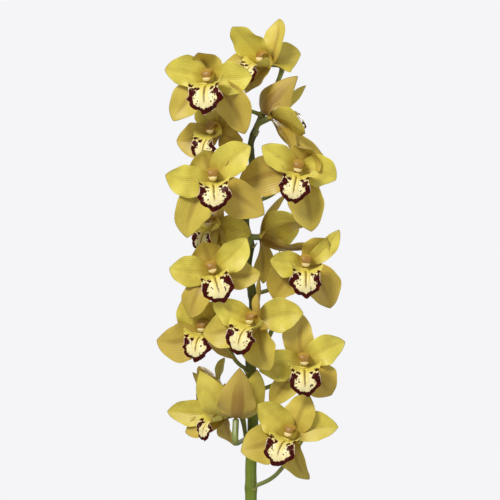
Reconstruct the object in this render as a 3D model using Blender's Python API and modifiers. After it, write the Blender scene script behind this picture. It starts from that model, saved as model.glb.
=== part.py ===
"""Potted orchid: one upright spray of yellow cymbidium flowers, grown in bark in a round glazed pot.

The origin is the middle of the pot's flat underside, +Z is up and the flowers show their faces to -Y.
Plant tables are in millimetres and degrees; the model is in metres.
"""

import math

import bmesh
import bpy
import numpy as np
from mathutils import Vector

MM = 0.001
GAP = 0.3  # clearance between neighbouring pieces

# The pot, turned on the +Z axis.
POT_HEIGHT = 170.0
POT_FOOT_RADIUS = 66.0
POT_RIM_RADIUS = 92.0
POT_WALL = 6.0
POT_FLOOR = 8.0
RIM_BAND_HEIGHT = 22.0
RIM_BAND_PROUD = 3.5
DRAIN_HOLE_RADIUS = 5.0
DRAIN_HOLE_RING = 36.0
DRAIN_HOLES = 3

# The potting bark that fills it.
BARK_BELOW_RIM = 20.0
BARK_TOP = POT_HEIGHT - BARK_BELOW_RIM
BARK_DOME = 3.0
BARK_SHOULDER = 45.0  # radius where the dome starts to fall away

# The pseudobulbs: where each stands, right and back. They sit BULB_SUNK deep in the bark.
BULB_HEIGHT = 62.0
BULB_RADIUS = 20.0
BULB_SUNK = 20.0
BULB_MIDDLE = 0.93  # width share at mid height
BULB_TAPER = 0.175  # share lost from mid height to the top, and gained down to the foot
BULBS = {
    "pseudobulb_1": (-35.0, 4.0),
    "pseudobulb_2": (36.0, 10.0),
    "pseudobulb_3": (0.0, 43.0),
}

# The strap leaves: the bulb each grows from, the way it leans counted from +X towards +Y, its
# length, and its slope where it starts and at its tip.
LEAF_WIDTH = 21.0
LEAF_BASE_WIDTH = 6.0
LEAF_THICKNESS = 1.3
LEAF_FOLD = 0.40
LEAF_RING = 8.5  # from the bulb's middle to the leaf's foot
LEAF_LIFT = 3.0  # from the bulb's top to the leaf's foot
LEAF_ARCH = 1.35
LEAF_FULL_WIDTH_AT = 0.35
LEAF_POINT_FROM = 0.72
LEAVES = {
    "leaf_01": ("pseudobulb_1", 210.0, 430.0, 77.0, -62.0),
    "leaf_02": ("pseudobulb_1", 262.0, 360.0, 72.0, -66.0),
    "leaf_03": ("pseudobulb_1", 150.0, 420.0, 78.0, -58.0),
    "leaf_04": ("pseudobulb_2", 345.0, 440.0, 78.0, -60.0),
    "leaf_05": ("pseudobulb_2", 285.0, 340.0, 70.0, -70.0),
    "leaf_06": ("pseudobulb_2", 35.0, 410.0, 77.0, -56.0),
    "leaf_07": ("pseudobulb_3", 50.0, 390.0, 77.0, -58.0),
    "leaf_08": ("pseudobulb_3", 102.0, 420.0, 78.0, -60.0),
    "leaf_09": ("pseudobulb_3", 160.0, 400.0, 77.0, -58.0),
}

# The flower stem. The table of flowers counts its heights from SPRAY_FOOT.
BARE_STEM = 280.0
SPRAY_FOOT = BARK_TOP + BARE_STEM
STEM_SUNK = 28.0
STEM_RADIUS = 6.6
STEM_TIP_RADIUS = 2.6
# The stem's line above SPRAY_FOOT: right, back, up.
STEM_ROUTE = [
    (1.0, 0.0, 0.0),
    (1.0, 0.0, 35.0),
    (3.0, 0.0, 75.0),
    (1.0, 0.0, 130.0),
    (2.0, 0.0, 165.0),
    (3.5, 0.0, 200.0),
    (-2.5, 0.0, 230.0),
    (0.0, 0.0, 256.0),
    (-4.5, 1.0, 276.0),
    (-2.0, 2.0, 300.0),
    (2.0, 3.0, 335.0),
    (0.5, 4.0, 354.0),
    (6.0, 8.0, 372.0),
    (14.0, 12.0, 390.0),
    (18.0, 14.0, 410.0),
]
STEM_TOP = 410.0

# Sheath bracts wrapped round the bare lower stem: the height of each foot above the bark, and the
# side that its point turns to, counted from -Y towards +X.
SHEATH_LENGTH = 62.0
SHEATH_THICKNESS = 0.8
SHEATH_FLARE = 3.0
SHEATH_WRAP = 2.7  # half the turn round the stem at the foot, in radians
SHEATHS = {"sheath_1": (12.0, 40.0), "sheath_2": (92.0, 215.0), "sheath_3": (172.0, 0.0)}

# Flower parts.
TEPAL_THICKNESS = 1.2
TEPAL_STEPS = 4
TEPAL_BASE_SHARE = 0.26
TEPAL_WIDEST = 0.52
TEPAL_CUP = 0.16
WHORL_STEP = 1.5
HEART_RADIUS = 4.6
COLUMN_RADIUS = 4.4
COLUMN_LENGTH = 17.0
COLUMN_RISE = 2.6
LIP_THICKNESS = 1.2
LIP_LENGTH = 42.0
LIP_START = (6.2, -4.6)
LIP_SLOPE = (-8.0, -122.0)
LIP_CLAW = 6.0  # half width between the lobes
LIP_LOBE = 9.5  # what the side lobes, and again the mid lobe, add to it
LIP_ROLL = 10.5  # radius of the roll of the side lobes
LIP_ARCH = 0.012  # how the mid lobe falls away to its sides
PEDICEL_RADIUS = 2.1
OVARY_RADIUS = 3.0
STALK_KNEE = 0.34  # share of the stalk's reach that runs straight into the flower
STALK_SPREAD = (0.5, 0.5, 0.28)

TEPALS = ("dorsal_sepal", "left_petal", "right_petal", "left_sepal", "right_sepal")
# Each flower: its heart (right, back, up from SPRAY_FOOT), the way it faces (yaw to the right,
# pitch up, roll clockwise), the height where its stalk leaves the stem, and its lip's scale in all
# and again in width. Then its five tepals in the order above: the tip from the heart (right, back,
# up), width, bow towards the face, twist and sideways sweep.
FLOWERS = {
    "flower_01": ((20, -5, 436), (-46, 10, 4), 404, (1.0, 0.95), [
        (10, 6, 44, 26, 4, 0, -6), (-37, -14, 37, 32, 2, 0, 0), (31, 8, 10, 28, 2, 40, 2),
        (-48, 14, -2, 20, 3, 0, 0), (-24, -10, -30, 24, 3, 0, 0)]),
    "flower_02": ((-39, -44, 419), (-14, -6, -4), 385, (1.12, 1.05), [
        (-12, -20, 25, 32, -8, 0, 0), (-45, -6, 9, 29, 3, 0, -2), (41, -8, 2, 31, 3, 0, 0),
        (-36, 4, -41, 29, 3, 0, -3), (34, 6, -53, 32, 3, 0, 5)]),
    "flower_03": ((20, -8, 382), (86, 28, 0), 366, (0.6, 0.3), [
        (28, -8, 41, 34, -19, 60, 0), (34, -29, -17, 34, 3, -10, -3), (37, 14, 32, 20, -6, 20, 0),
        (22, -10, -36, 22, 4, 35, 0), (56, 10, -41, 22, -6, 50, 0)]),
    "flower_04": ((-31, -12, 369), (-34, -8, 0), 350, (1.05, 0.9), [
        (6, 12, 31, 22, 3, 0, 0), (-20, 8, 22, 22, 2, 0, 0), (18, 12, 16, 22, 2, 0, 0),
        (-42, 4, -10, 32, 3, 0, 3), (24, -8, -8, 28, 3, 0, -3)]),
    "flower_05": ((-37, -52, 320), (2, -2, -3), 292, (1.08, 1.0), [
        (-9, -8, 29, 38, -2, 0, 0), (-46, -6, 4, 30, 3, 0, 3), (38, -8, 32, 31, 2, 0, 3),
        (-25, 4, -58, 33, 4, 0, -7), (51, 4, -35, 34, 4, 0, 0)]),
    "flower_06": ((48, -40, 330), (-4, -8, 10), 296, (1.06, 0.95), [
        (16, -24, 20, 34, -8, 0, 0), (-36, -8, 23, 24, 3, 0, 0), (37, -7, -11, 30, 2, 0, 4),
        (-58, 8, -14, 38, 4, 0, -2), (13, 6, -61, 33, 4, 0, 2)]),
    "flower_07": ((-32, -12, 276), (-38, -6, 0), 254, (0.95, 0.85), [
        (4, 10, 24, 22, 3, 0, 0), (-24, 8, 9, 22, 2, 0, 0), (33, -8, -10, 32, 3, 0, 0),
        (-13, 12, -30, 20, 3, 0, 0), (6, 2, -26, 20, 3, 0, 0)]),
    "flower_08": ((-37, -46, 229), (2, -2, -16), 166, (1.08, 1.0), [
        (-9, -14, 30, 34, -4, 0, 0), (-43, -8, 3, 29, 3, 0, 2), (34, -8, 33, 27, 2, 0, -2),
        (-23, 2, -47, 28, 8, 25, -4), (46, 4, -1, 28, 4, 0, -4)]),
    "flower_09": ((54, -38, 236), (4, -6, 4), 205, (1.04, 1.0), [
        (22, -14, 25, 26, -6, 0, 0), (-34, -8, 4, 24, 3, 0, 0), (34, -6, 34, 16, 3, 0, -3),
        (-30, 6, -35, 32, 3, 0, -4), (25, 4, -43, 32, 4, 0, 4)]),
    "flower_10": ((10, -6, 263), (102, 4, 0), 254, (0.55, 0.35), [
        (28, 10, 43, 20, -8, -30, 0), (48, -28, 14, 32, -3, 66, -6), (38, 16, 8, 24, 3, 0, 0),
        (60, -32, -2, 22, 2, 70, 12), (2, 12, -46, 22, 2, 75, 0)]),
    "flower_11": ((8, -58, 179), (-34, -2, 4), 138, (1.0, 0.8), [
        (5, -2, 43, 24, 3, -60, 0), (-44, -8, 21, 26, 3, 0, 0), (44, 2, 8, 32, 3, 0, 3),
        (-54, 0, -12, 34, 4, 0, 2), (12, -8, -48, 34, 5, 0, 0)]),
    "flower_12": ((53, -44, 139), (2, -6, 0), 108, (1.04, 1.0), [
        (0, -4, 47, 28, 3, 0, 4), (-44, -8, -9, 30, 4, 0, -4), (41, -8, 20, 27, 3, 0, 3),
        (-32, 6, -43, 23, 3, 0, -2), (28, 6, -33, 34, 4, 0, 0)]),
    "flower_13": ((-42, -28, 171), (-24, -4, 0), 128, (1.0, 1.0), [
        (14, 8, 29, 24, -3, 0, 0), (-25, -8, 30, 28, 3, 0, 0), (32, 2, 9, 22, 3, 0, 0),
        (-50, -2, -10, 36, 4, 0, 6), (28, -2, -30, 18, 3, 40, 0)]),
    "flower_14": ((-14, -46, 83), (180, 78, 0), 62, (0.2, 0.4), [
        (-12, 24, 34, 24, -9, 0, 0), (-36, -2, 48, 30, -9, 50, -4), (21, -4, 49, 28, -10, -50, 6),
        (17, 27, 32, 18, -8, 0, 0), (4, -21, 51, 36, -14, 0, 0)]),
    "flower_15": ((-25, -20, 85), (-52, 2, 0), 50, (0.7, 0.5), [
        (-31, 4, 45, 26, -6, 0, 0), (-20, 16, 30, 22, 2, 0, 0), (-57, 14, 4, 24, 2, 0, 0),
        (10, 14, -30, 22, 3, 0, 0), (-40, 6, -16, 22, 2, 0, 3)]),
    "flower_16": ((-30, 12, 112), (-120, 10, 0), 96, (0.7, 0.6), [
        (-20, 4, 22, 20, 3, 0, 0), (4, 8, 30, 16, 2, 0, 0), (-18, -8, 4, 24, 5, 50, 0),
        (16, 12, -22, 20, 3, 0, 0), (-14, 8, -28, 20, 3, 0, 0)]),
    "flower_17": ((42, -46, 66), (-19, 4, 12), 12, (1.08, 1.0), [
        (16, -6, 42, 31, 3, 0, 0), (-34, -8, 32, 29, 3, 0, -3), (45, -8, 9, 27, 3, 0, 3),
        (-51, -8, -15, 37, 4, 0, 0), (16, 4, -44, 27, 6, 25, -3)]),
}


def remove_start_objects():
    for thing in list(bpy.data.objects):
        bpy.data.objects.remove(thing, do_unlink=True)


def new_collection(name):
    collection = bpy.data.collections.new(name)
    bpy.context.scene.collection.children.link(collection)
    return collection


def finish(name, colour, roughness):
    """A Principled material of one colour (linear red, green, blue) and roughness."""
    material = bpy.data.materials.new(name)
    material.use_nodes = True
    shader = material.node_tree.nodes["Principled BSDF"]
    shader.inputs["Base Color"].default_value = (*colour, 1.0)
    shader.inputs["Roughness"].default_value = roughness
    shader.inputs["Metallic"].default_value = 0.0
    return material


def add_mesh_object(name, mesh, collection):
    thing = bpy.data.objects.new(name, mesh)
    collection.objects.link(thing)
    return thing


def from_bmesh(name, bm, collection):
    mesh = bpy.data.meshes.new(name)
    bm.to_mesh(mesh)
    bm.free()
    return add_mesh_object(name, mesh, collection)


def settled(thing, name, collection):
    """A copy of an object with its modifiers or its curve bevel turned into plain faces."""
    graph = bpy.context.evaluated_depsgraph_get()
    graph.update()
    mesh = bpy.data.meshes.new_from_object(thing.evaluated_get(graph))
    mesh.transform(thing.matrix_world)
    bm = bmesh.new()
    bm.from_mesh(mesh)
    bmesh.ops.remove_doubles(bm, verts=bm.verts, dist=1e-6)
    bmesh.ops.recalc_face_normals(bm, faces=bm.faces)
    bm.to_mesh(mesh)
    bm.free()
    bpy.data.objects.remove(thing, do_unlink=True)
    mesh.name = name
    mesh.materials.clear()
    return add_mesh_object(name, mesh, collection)


def joined(name, pieces, collection):
    """One body from several that run into each other; all of them are closed solids."""
    first, *others = pieces
    for other in others:
        union = first.modifiers.new("joined with " + other.name, "BOOLEAN")
        union.operation = "UNION"
        union.solver = "MANIFOLD"
        union.object = other
    whole = settled(first, name, collection)
    for other in others:
        bpy.data.objects.remove(other, do_unlink=True)
    return whole


def sheet(name, surface, along, across, thickness, collection):
    """A thin sheet: a grid whose points are put where surface(s, t) says, given a thickness."""
    bm = bmesh.new()
    bmesh.ops.create_grid(bm, x_segments=across, y_segments=along, size=1.0)
    s = np.array([(v.co.y + 1.0) / 2.0 for v in bm.verts])
    t = np.array([v.co.x for v in bm.verts])
    for vert, place in zip(bm.verts, surface(s, t)):
        vert.co = Vector(place) * MM
    thing = from_bmesh(name, bm, collection)
    wall = thing.modifiers.new("thickness", "SOLIDIFY")
    wall.thickness = thickness * MM
    wall.offset = 0.0
    return settled(thing, name, collection)


def tube(name, points, radii, sides, steps, collection):
    """A round tube through the points, with its own radius at each, and closed ends."""
    curve = bpy.data.curves.new(name, "CURVE")
    curve.dimensions = "3D"
    curve.bevel_depth = MM
    curve.bevel_resolution = (sides - 4) // 2
    curve.resolution_u = steps
    curve.use_fill_caps = True
    spline = curve.splines.new("BEZIER")
    spline.bezier_points.add(len(points) - 1)
    for knot, point, radius in zip(spline.bezier_points, points, radii):
        knot.co = Vector(point) * MM
        knot.radius = radius
        knot.handle_left_type = "AUTO"
        knot.handle_right_type = "AUTO"
    thing = bpy.data.objects.new(name, curve)
    collection.objects.link(thing)
    return settled(thing, name, collection)


def ball(name, centre, radii, segments, rings, collection):
    """An ellipsoid of the three radii, in millimetres."""
    bm = bmesh.new()
    bmesh.ops.create_uvsphere(bm, u_segments=segments, v_segments=rings, radius=1.0)
    for vert in bm.verts:
        vert.co = Vector([c + r * p for c, r, p in zip(centre, radii, vert.co)]) * MM
    return from_bmesh(name, bm, collection)


def axes(yaw, pitch, roll):
    """A flower's own directions: to its right as seen from the front, the way it faces, and up."""
    a, b, c = (math.radians(v) for v in (yaw, pitch, roll))
    right = np.array([math.cos(a), math.sin(a), 0.0])
    face = np.array([math.sin(a) * math.cos(b), -math.cos(a) * math.cos(b), math.sin(b)])
    up = np.cross(face, right)
    return right * math.cos(c) - up * math.sin(c), face, up * math.cos(c) + right * math.sin(c)


def tepal_half_width(s, width):
    """Half the width along a tepal: a narrow foot, widest just past the middle, a blunt point."""
    inner = 1.0 - (1.0 - TEPAL_BASE_SHARE) * np.clip(1.0 - s / TEPAL_WIDEST, 0.0, 1.0) ** 2
    outer = 1.0 - np.clip((s - TEPAL_WIDEST) / (1.0 - TEPAL_WIDEST), 0.0, 1.0) ** 2.1
    return width / 2.0 * inner * outer**0.78 + 0.9


def tepal_surface(heart, face, ahead, tip, width, bow, twist, sweep):
    """A sheet whose middle line is a parabola from the heart to the tip, bowed along the face,
    swept sideways, cupped across and turned about that line by twist degrees. It starts ahead of
    the heart's middle by the given distance along the face."""
    tip = np.array(tip, float)
    side = np.cross(face, tip)
    side /= np.linalg.norm(side)
    start = tip * (2.4 / np.linalg.norm(tip)) + face * ahead
    middle = (start + tip) / 2.0 + face * (2.0 * bow) + side * (2.0 * sweep)

    def surface(s, t):
        s, t = s[:, None], t[:, None]
        line = start * (1 - s) ** 2 + middle * (2 * s * (1 - s)) + tip * s**2
        run = (middle - start) * (1 - s) + (tip - middle) * s
        run = run / np.linalg.norm(run, axis=1, keepdims=True)
        out = np.cross(run, side)
        out = out / np.linalg.norm(out, axis=1, keepdims=True)
        out = out * np.sign(out @ face)[:, None]
        angle = np.radians(twist) * (1.0 - (1.0 - s) ** 3)
        flat = np.cross(out, run)
        across = flat * np.cos(angle) + out * np.sin(angle)
        out = out * np.cos(angle) - flat * np.sin(angle)
        half = tepal_half_width(s, width)
        return heart + line + across * (t * half) + out * (TEPAL_CUP * half * t**2)

    return surface


def whorl(kind):
    """The petals grow just in front of the heart's middle and the sepals just behind it."""
    return WHORL_STEP if kind.endswith("petal") else -WHORL_STEP / 2.0


def lip_middle(u):
    """The lip's middle line in the flower's (forward, up) plane and its slope there.

    It runs forward, then rolls down and back: the slope turns evenly over the outer part.
    """
    fine = np.linspace(0.0, 1.0, 101)
    turn = np.clip((fine - 0.30) / 0.62, 0.0, 1.0)
    slope = np.radians(LIP_SLOPE[0] + (LIP_SLOPE[1] - LIP_SLOPE[0]) * turn)
    step = LIP_LENGTH / 100.0
    forward = np.concatenate([[0], np.cumsum(np.cos(slope[:-1]))]) * step
    rise = np.concatenate([[0], np.cumsum(np.sin(slope[:-1]))]) * step
    return np.interp(u, fine, forward), np.interp(u, fine, rise), np.interp(u, fine, slope)


def lip_surface(heart, directions, scale, narrow):
    """The lip: two side lobes rolled up beside the column, a waist, then a broad mid lobe."""
    right, face, up = directions
    root = heart + face * LIP_START[0] + up * LIP_START[1]

    def surface(u, v):
        forward, rise, slope = lip_middle(u)
        side_lobe = LIP_LOBE * np.exp(-(((u - 0.30) / 0.20) ** 2))
        mid_lobe = LIP_LOBE * np.clip((u - 0.42) / 0.20, 0.0, 1.0) ** 0.8
        end = np.clip(1.0 - np.clip((u - 0.62) / 0.38, 0.0, 1.0) ** 2, 0.012, 1.0)
        half = (LIP_CLAW + side_lobe + mid_lobe) * np.sqrt(end)
        rolled = 1.0 - np.clip((u - 0.42) / 0.22, 0.0, 1.0)
        bend = LIP_ROLL / np.maximum(rolled, 0.05)
        x = narrow * bend * np.sin(v * half / bend)
        lift = bend * (1.0 - np.cos(v * half / bend)) - (1.0 - rolled) * LIP_ARCH * (v * half) ** 2
        forward = forward - narrow * np.sin(slope) * lift
        rise = rise + narrow * np.cos(slope) * lift
        place = np.outer(x, right) + np.outer(forward, face) + np.outer(rise, up)
        return root + place * scale

    return surface


def build_flower(name, row, collection, looks):
    """Two pieces: the five tepals grown together with the column, and the lip."""
    at, turn, _, lip_scales, tepals = row
    heart = np.array(at, float) + (0.0, 0.0, SPRAY_FOOT)
    directions = axes(*turn)
    right, face, up = directions
    core = ball(name + "_heart", heart, (HEART_RADIUS,) * 3, 6, 4, collection)
    nose = heart + face * (COLUMN_LENGTH * 0.52) + up * COLUMN_RISE
    column = tube(
        name + "_column",
        [heart, (heart + nose) / 2 + up, nose, nose + face * (COLUMN_LENGTH * 0.4) - up],
        [COLUMN_RADIUS * 0.8, COLUMN_RADIUS * 0.9, COLUMN_RADIUS, COLUMN_RADIUS * 0.75],
        6, 1, collection,
    )
    blades = [
        sheet(f"{name}_{kind}", tepal_surface(heart, face, whorl(kind), blade[:3], *blade[3:]),
              TEPAL_STEPS, 2, TEPAL_THICKNESS, collection)
        for kind, blade in zip(TEPALS, tepals)
    ]
    whole = joined(name + "_tepals", [core, column, *blades], collection)
    whole.data.materials.append(looks["tepal"])
    lip = sheet(name + "_lip", lip_surface(heart, directions, *lip_scales), 5, 4,
                LIP_THICKNESS, collection)
    lip.data.materials.append(looks["lip"])


def stem_at(height):
    """Where the stem's line is at a height above SPRAY_FOOT."""
    route = np.array(STEM_ROUTE)
    return np.array([np.interp(height, route[:, 2], route[:, i]) for i in range(3)])


def stem_radius(height):
    """It tapers steadily from the bark to its top."""
    bottom = BARK_TOP - STEM_SUNK - SPRAY_FOOT
    share = (height - bottom) / (STEM_TOP - bottom)
    return STEM_RADIUS + (STEM_TIP_RADIUS - STEM_RADIUS) * share**2


def stalk_route(row):
    """A flower's stalk: out from the stem, round, and into the back of the flower's heart."""
    at, turn, height, _, _ = row
    _, face, _ = axes(*turn)
    lift = np.array([0.0, 0.0, SPRAY_FOOT])
    root = stem_at(height) + lift
    back = np.array(at, float) + lift - face * (HEART_RADIUS + 2 * GAP)
    reach = np.linalg.norm(back - root)
    knee = back - face * (STALK_KNEE * reach)
    first = root + (knee - root) * STALK_SPREAD
    return [root, first, knee, back]


def build_stem(collection, looks):
    """The stem and the flowers' stalks, which grew as one piece."""
    lift = np.array([0.0, 0.0, SPRAY_FOOT])
    foot = np.array([0.0, 0.0, BARK_TOP - STEM_SUNK - SPRAY_FOOT])
    knots = [foot, foot / 2, *[np.array(p) for p in STEM_ROUTE]]
    points = [knot + lift for knot in knots]
    main = tube("flower_stem_main", points, [stem_radius(k[2]) for k in knots], 8, 2, collection)
    stalks = [
        tube(name + "_stalk", stalk_route(row),
             [PEDICEL_RADIUS, PEDICEL_RADIUS, OVARY_RADIUS, OVARY_RADIUS * 0.9], 6, 2, collection)
        for name, row in FLOWERS.items()
    ]
    stem = joined("flower_stem", [main, *stalks], collection)
    stem.data.materials.append(looks["stem"])


def build_sheaths(collection, looks):
    """Papery bracts: a cone wrapped most of the way round the stem, opening to a point."""
    for name, (rise, side) in SHEATHS.items():
        foot = BARK_TOP + rise
        turn = math.radians(side)
        inner = stem_radius(foot - SPRAY_FOOT) + GAP + SHEATH_THICKNESS

        def surface(s, t):
            radius = inner + SHEATH_FLARE * s**2
            angle = t * SHEATH_WRAP * (1.0 - 0.75 * s**1.5) + turn
            height = foot + SHEATH_LENGTH * s
            return np.stack([radius * np.sin(angle), -radius * np.cos(angle), height], axis=1)

        bract = sheet(name, surface, 6, 10, SHEATH_THICKNESS, collection)
        bract.data.materials.append(looks["sheath"])


def bulb_shape(name, foot, extra, collection):
    """An egg standing on its thick end; extra is added all round for its socket in the bark."""
    bm = bmesh.new()
    bmesh.ops.create_uvsphere(bm, u_segments=14, v_segments=9, radius=1.0)
    middle = BARK_TOP - BULB_SUNK + BULB_HEIGHT / 2
    for vert in bm.verts:
        swell = BULB_RADIUS * (BULB_MIDDLE - BULB_TAPER * vert.co.z) + extra
        vert.co = Vector((
            foot[0] + vert.co.x * swell,
            foot[1] + vert.co.y * swell,
            middle + vert.co.z * (BULB_HEIGHT / 2 + extra),
        )) * MM
    return from_bmesh(name, bm, collection)


def build_bulbs(collection, looks):
    for name, foot in BULBS.items():
        bulb = bulb_shape(name, foot, 0.0, collection)
        bulb.data.materials.append(looks["bulb"])


def leaf_surface(bulb, azimuth, length, first_slope, last_slope):
    """A strap leaf in an upright plane: its slope falls from first to last along its length, and
    its two halves stand up from the midrib in a V that flattens towards the tip."""
    turn = math.radians(azimuth)
    out = np.array([math.cos(turn), math.sin(turn), 0.0])
    side = np.array([-math.sin(turn), math.cos(turn), 0.0])
    top = BARK_TOP - BULB_SUNK + BULB_HEIGHT
    start = np.array([*BULBS[bulb], top + LEAF_LIFT]) + out * LEAF_RING
    fine = np.linspace(0.0, 1.0, 201)
    slope = np.radians(first_slope + (last_slope - first_slope) * fine**LEAF_ARCH)
    step = length / 200.0
    reach = np.concatenate([[0], np.cumsum(np.cos(slope[:-1]))]) * step
    rise = np.concatenate([[0], np.cumsum(np.sin(slope[:-1]))]) * step

    def surface(s, t):
        angle = np.interp(s, fine, slope)
        line = start + np.outer(np.interp(s, fine, reach), out)
        line[:, 2] += np.interp(s, fine, rise)
        normal = np.outer(-np.sin(angle), out)
        normal[:, 2] += np.cos(angle)
        grow = np.clip(s / LEAF_FULL_WIDTH_AT, 0.0, 1.0)
        half = (LEAF_BASE_WIDTH + (LEAF_WIDTH - LEAF_BASE_WIDTH) * grow) / 2.0
        point = np.clip((s - LEAF_POINT_FROM) / (1.01 - LEAF_POINT_FROM), 0.0, 1.0)
        half = half * np.sqrt(1.0 - point**2)
        fold = LEAF_FOLD * (1.0 + 0.5 * (1.0 - s) ** 3)
        return line + side * (t * half)[:, None] + normal * (fold * np.abs(t) * half)[:, None]

    return surface


def build_leaves(collection, looks):
    for name, row in LEAVES.items():
        leaf = sheet(name, leaf_surface(*row), 13, 2, LEAF_THICKNESS, collection)
        leaf.data.materials.append(looks["leaf"])


def pot_outer_radius(height):
    """The pot widens evenly from its foot to its rim."""
    return POT_FOOT_RADIUS + (POT_RIM_RADIUS - POT_FOOT_RADIUS) * height / POT_HEIGHT


def turned(name, profile, steps, collection):
    """A solid turned on +Z from its outline of (radius, height), running down its outer side."""
    mesh = bpy.data.meshes.new(name)
    mesh.from_pydata([(r * MM, 0.0, z * MM) for r, z in profile],
                     [(i, i + 1) for i in range(len(profile) - 1)], [])
    thing = add_mesh_object(name, mesh, collection)
    screw = thing.modifiers.new("turned", "SCREW")
    screw.axis = "Z"
    screw.steps = steps
    screw.render_steps = steps
    screw.use_merge_vertices = True
    screw.merge_threshold = 0.0001
    return settled(thing, name, collection)


def cut(name, whole, cutters, collection):
    """The solid with each cutter's shape taken out of it."""
    for cutter in cutters:
        difference = whole.modifiers.new("cut by " + cutter.name, "BOOLEAN")
        difference.operation = "DIFFERENCE"
        difference.solver = "EXACT"
        difference.object = cutter
    result = settled(whole, name, collection)
    for cutter in cutters:
        bpy.data.objects.remove(cutter, do_unlink=True)
    return result


def post(name, centre, radius, bottom, top, sides, collection):
    """An upright round bar, in millimetres."""
    bm = bmesh.new()
    bmesh.ops.create_cone(bm, cap_ends=True, segments=sides, radius1=radius * MM,
                          radius2=radius * MM, depth=(top - bottom) * MM)
    for vert in bm.verts:
        vert.co += Vector((centre[0], centre[1], (bottom + top) / 2)) * MM
    return from_bmesh(name, bm, collection)


def build_pot(collection, cutters, looks):
    """A round pot with a rim band outside, hollow above its floor, and drain holes in the floor."""
    band = POT_HEIGHT - RIM_BAND_HEIGHT
    profile = [
        (0.0, POT_FLOOR),
        (pot_outer_radius(POT_FLOOR) - POT_WALL, POT_FLOOR),
        (POT_RIM_RADIUS - POT_WALL, POT_HEIGHT - 1.5),
        (POT_RIM_RADIUS - POT_WALL + 1.5, POT_HEIGHT),
        (POT_RIM_RADIUS + RIM_BAND_PROUD - 1.5, POT_HEIGHT),
        (POT_RIM_RADIUS + RIM_BAND_PROUD, POT_HEIGHT - 1.5),
        (pot_outer_radius(band) + RIM_BAND_PROUD, band + 1.5),
        (pot_outer_radius(band) + RIM_BAND_PROUD - 1.5, band),
        (pot_outer_radius(band), band - 0.5),
        (pot_outer_radius(2.0), 2.0),
        (POT_FOOT_RADIUS - 2.0, 0.0),
        (0.0, 0.0),
    ]
    pot = turned("pot_body", profile, 36, collection)
    holes = []
    for index in range(DRAIN_HOLES):
        turn = 2 * math.pi * (index + 0.25) / DRAIN_HOLES
        centre = (DRAIN_HOLE_RING * math.cos(turn), DRAIN_HOLE_RING * math.sin(turn))
        holes.append(post(f"drain_hole_{index + 1}", centre, DRAIN_HOLE_RADIUS, -5.0,
                          POT_FLOOR + 5.0, 16, cutters))
    pot = cut("pot", pot, holes, collection)
    pot.data.shade_smooth()
    pot.data.set_sharp_from_angle(angle=math.radians(35))
    pot.data.materials.append(looks["pot"])


def build_bark(collection, cutters, looks):
    """The bark fills the pot to BARK_TOP, with sockets for the bulbs and the stem's foot."""
    floor = POT_FLOOR + GAP
    profile = [
        (0.0, BARK_TOP + BARK_DOME),
        (BARK_SHOULDER, BARK_TOP + BARK_DOME * 0.7),
        (pot_outer_radius(BARK_TOP) - POT_WALL - GAP, BARK_TOP),
        (pot_outer_radius(floor) - POT_WALL - GAP, floor),
        (0.0, floor),
    ]
    bark = turned("bark_fill", profile, 36, collection)
    sockets = [bulb_shape(name + "_socket", foot, GAP, cutters) for name, foot in BULBS.items()]
    stem_foot = BARK_TOP - STEM_SUNK
    sockets.append(post("stem_socket", (0.0, 0.0), STEM_RADIUS + GAP, stem_foot - GAP,
                        BARK_TOP + 20.0, 16, cutters))
    bark = cut("potting_bark", bark, sockets, collection)
    bark.data.materials.append(looks["bark"])


def main():
    remove_start_objects()
    plant = new_collection("potted_orchid")
    cutters = new_collection("cutters")
    looks = {
        "tepal": finish("yellow tepal", (0.60, 0.50, 0.10), 0.45),
        "lip": finish("cream lip", (0.80, 0.68, 0.32), 0.45),
        "stem": finish("green stem", (0.15, 0.20, 0.02), 0.45),
        "sheath": finish("dry sheath bract", (0.42, 0.38, 0.20), 0.7),
        "bulb": finish("green pseudobulb", (0.20, 0.27, 0.06), 0.5),
        "leaf": finish("green strap leaf", (0.05, 0.14, 0.02), 0.4),
        "bark": finish("orchid bark", (0.12, 0.06, 0.03), 0.9),
        "pot": finish("white glazed ceramic", (0.80, 0.79, 0.75), 0.15),
    }
    build_pot(plant, cutters, looks)
    build_bark(plant, cutters, looks)
    build_bulbs(plant, looks)
    build_leaves(plant, looks)
    build_stem(plant, looks)
    build_sheaths(plant, looks)
    for name, row in FLOWERS.items():
        build_flower(name, row, plant, looks)


main()
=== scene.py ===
# %% [markdown]
# # A potted cymbidium orchid
# The plant is one upright spray of waxy yellow flowers with dark-marked lips. It stands on a bare green
# stem over strap leaves and pseudobulbs, which root in fir bark in a round glazed pot.
# Nearly everything on a plant is a sheet or a tube whose shape changes along its length. So each piece is
# worked out as a surface with two parameters: how far along it is, and how far round.

import bpy
import numpy as np
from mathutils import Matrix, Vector


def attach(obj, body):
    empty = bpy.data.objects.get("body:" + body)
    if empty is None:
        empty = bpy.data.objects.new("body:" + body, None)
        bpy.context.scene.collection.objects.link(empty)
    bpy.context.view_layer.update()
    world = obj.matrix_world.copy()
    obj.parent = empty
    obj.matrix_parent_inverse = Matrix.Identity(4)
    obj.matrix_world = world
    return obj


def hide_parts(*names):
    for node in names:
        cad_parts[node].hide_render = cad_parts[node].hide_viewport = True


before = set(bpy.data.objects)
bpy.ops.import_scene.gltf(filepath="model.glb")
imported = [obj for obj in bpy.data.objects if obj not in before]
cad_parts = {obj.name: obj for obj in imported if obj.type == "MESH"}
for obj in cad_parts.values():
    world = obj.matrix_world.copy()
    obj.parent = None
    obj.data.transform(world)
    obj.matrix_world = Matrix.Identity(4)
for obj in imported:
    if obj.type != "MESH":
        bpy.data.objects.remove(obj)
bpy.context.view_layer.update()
MM = 0.001
UP = np.array([0.0, 0.0, 1.0])
chance = np.random.default_rng(17)

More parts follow.
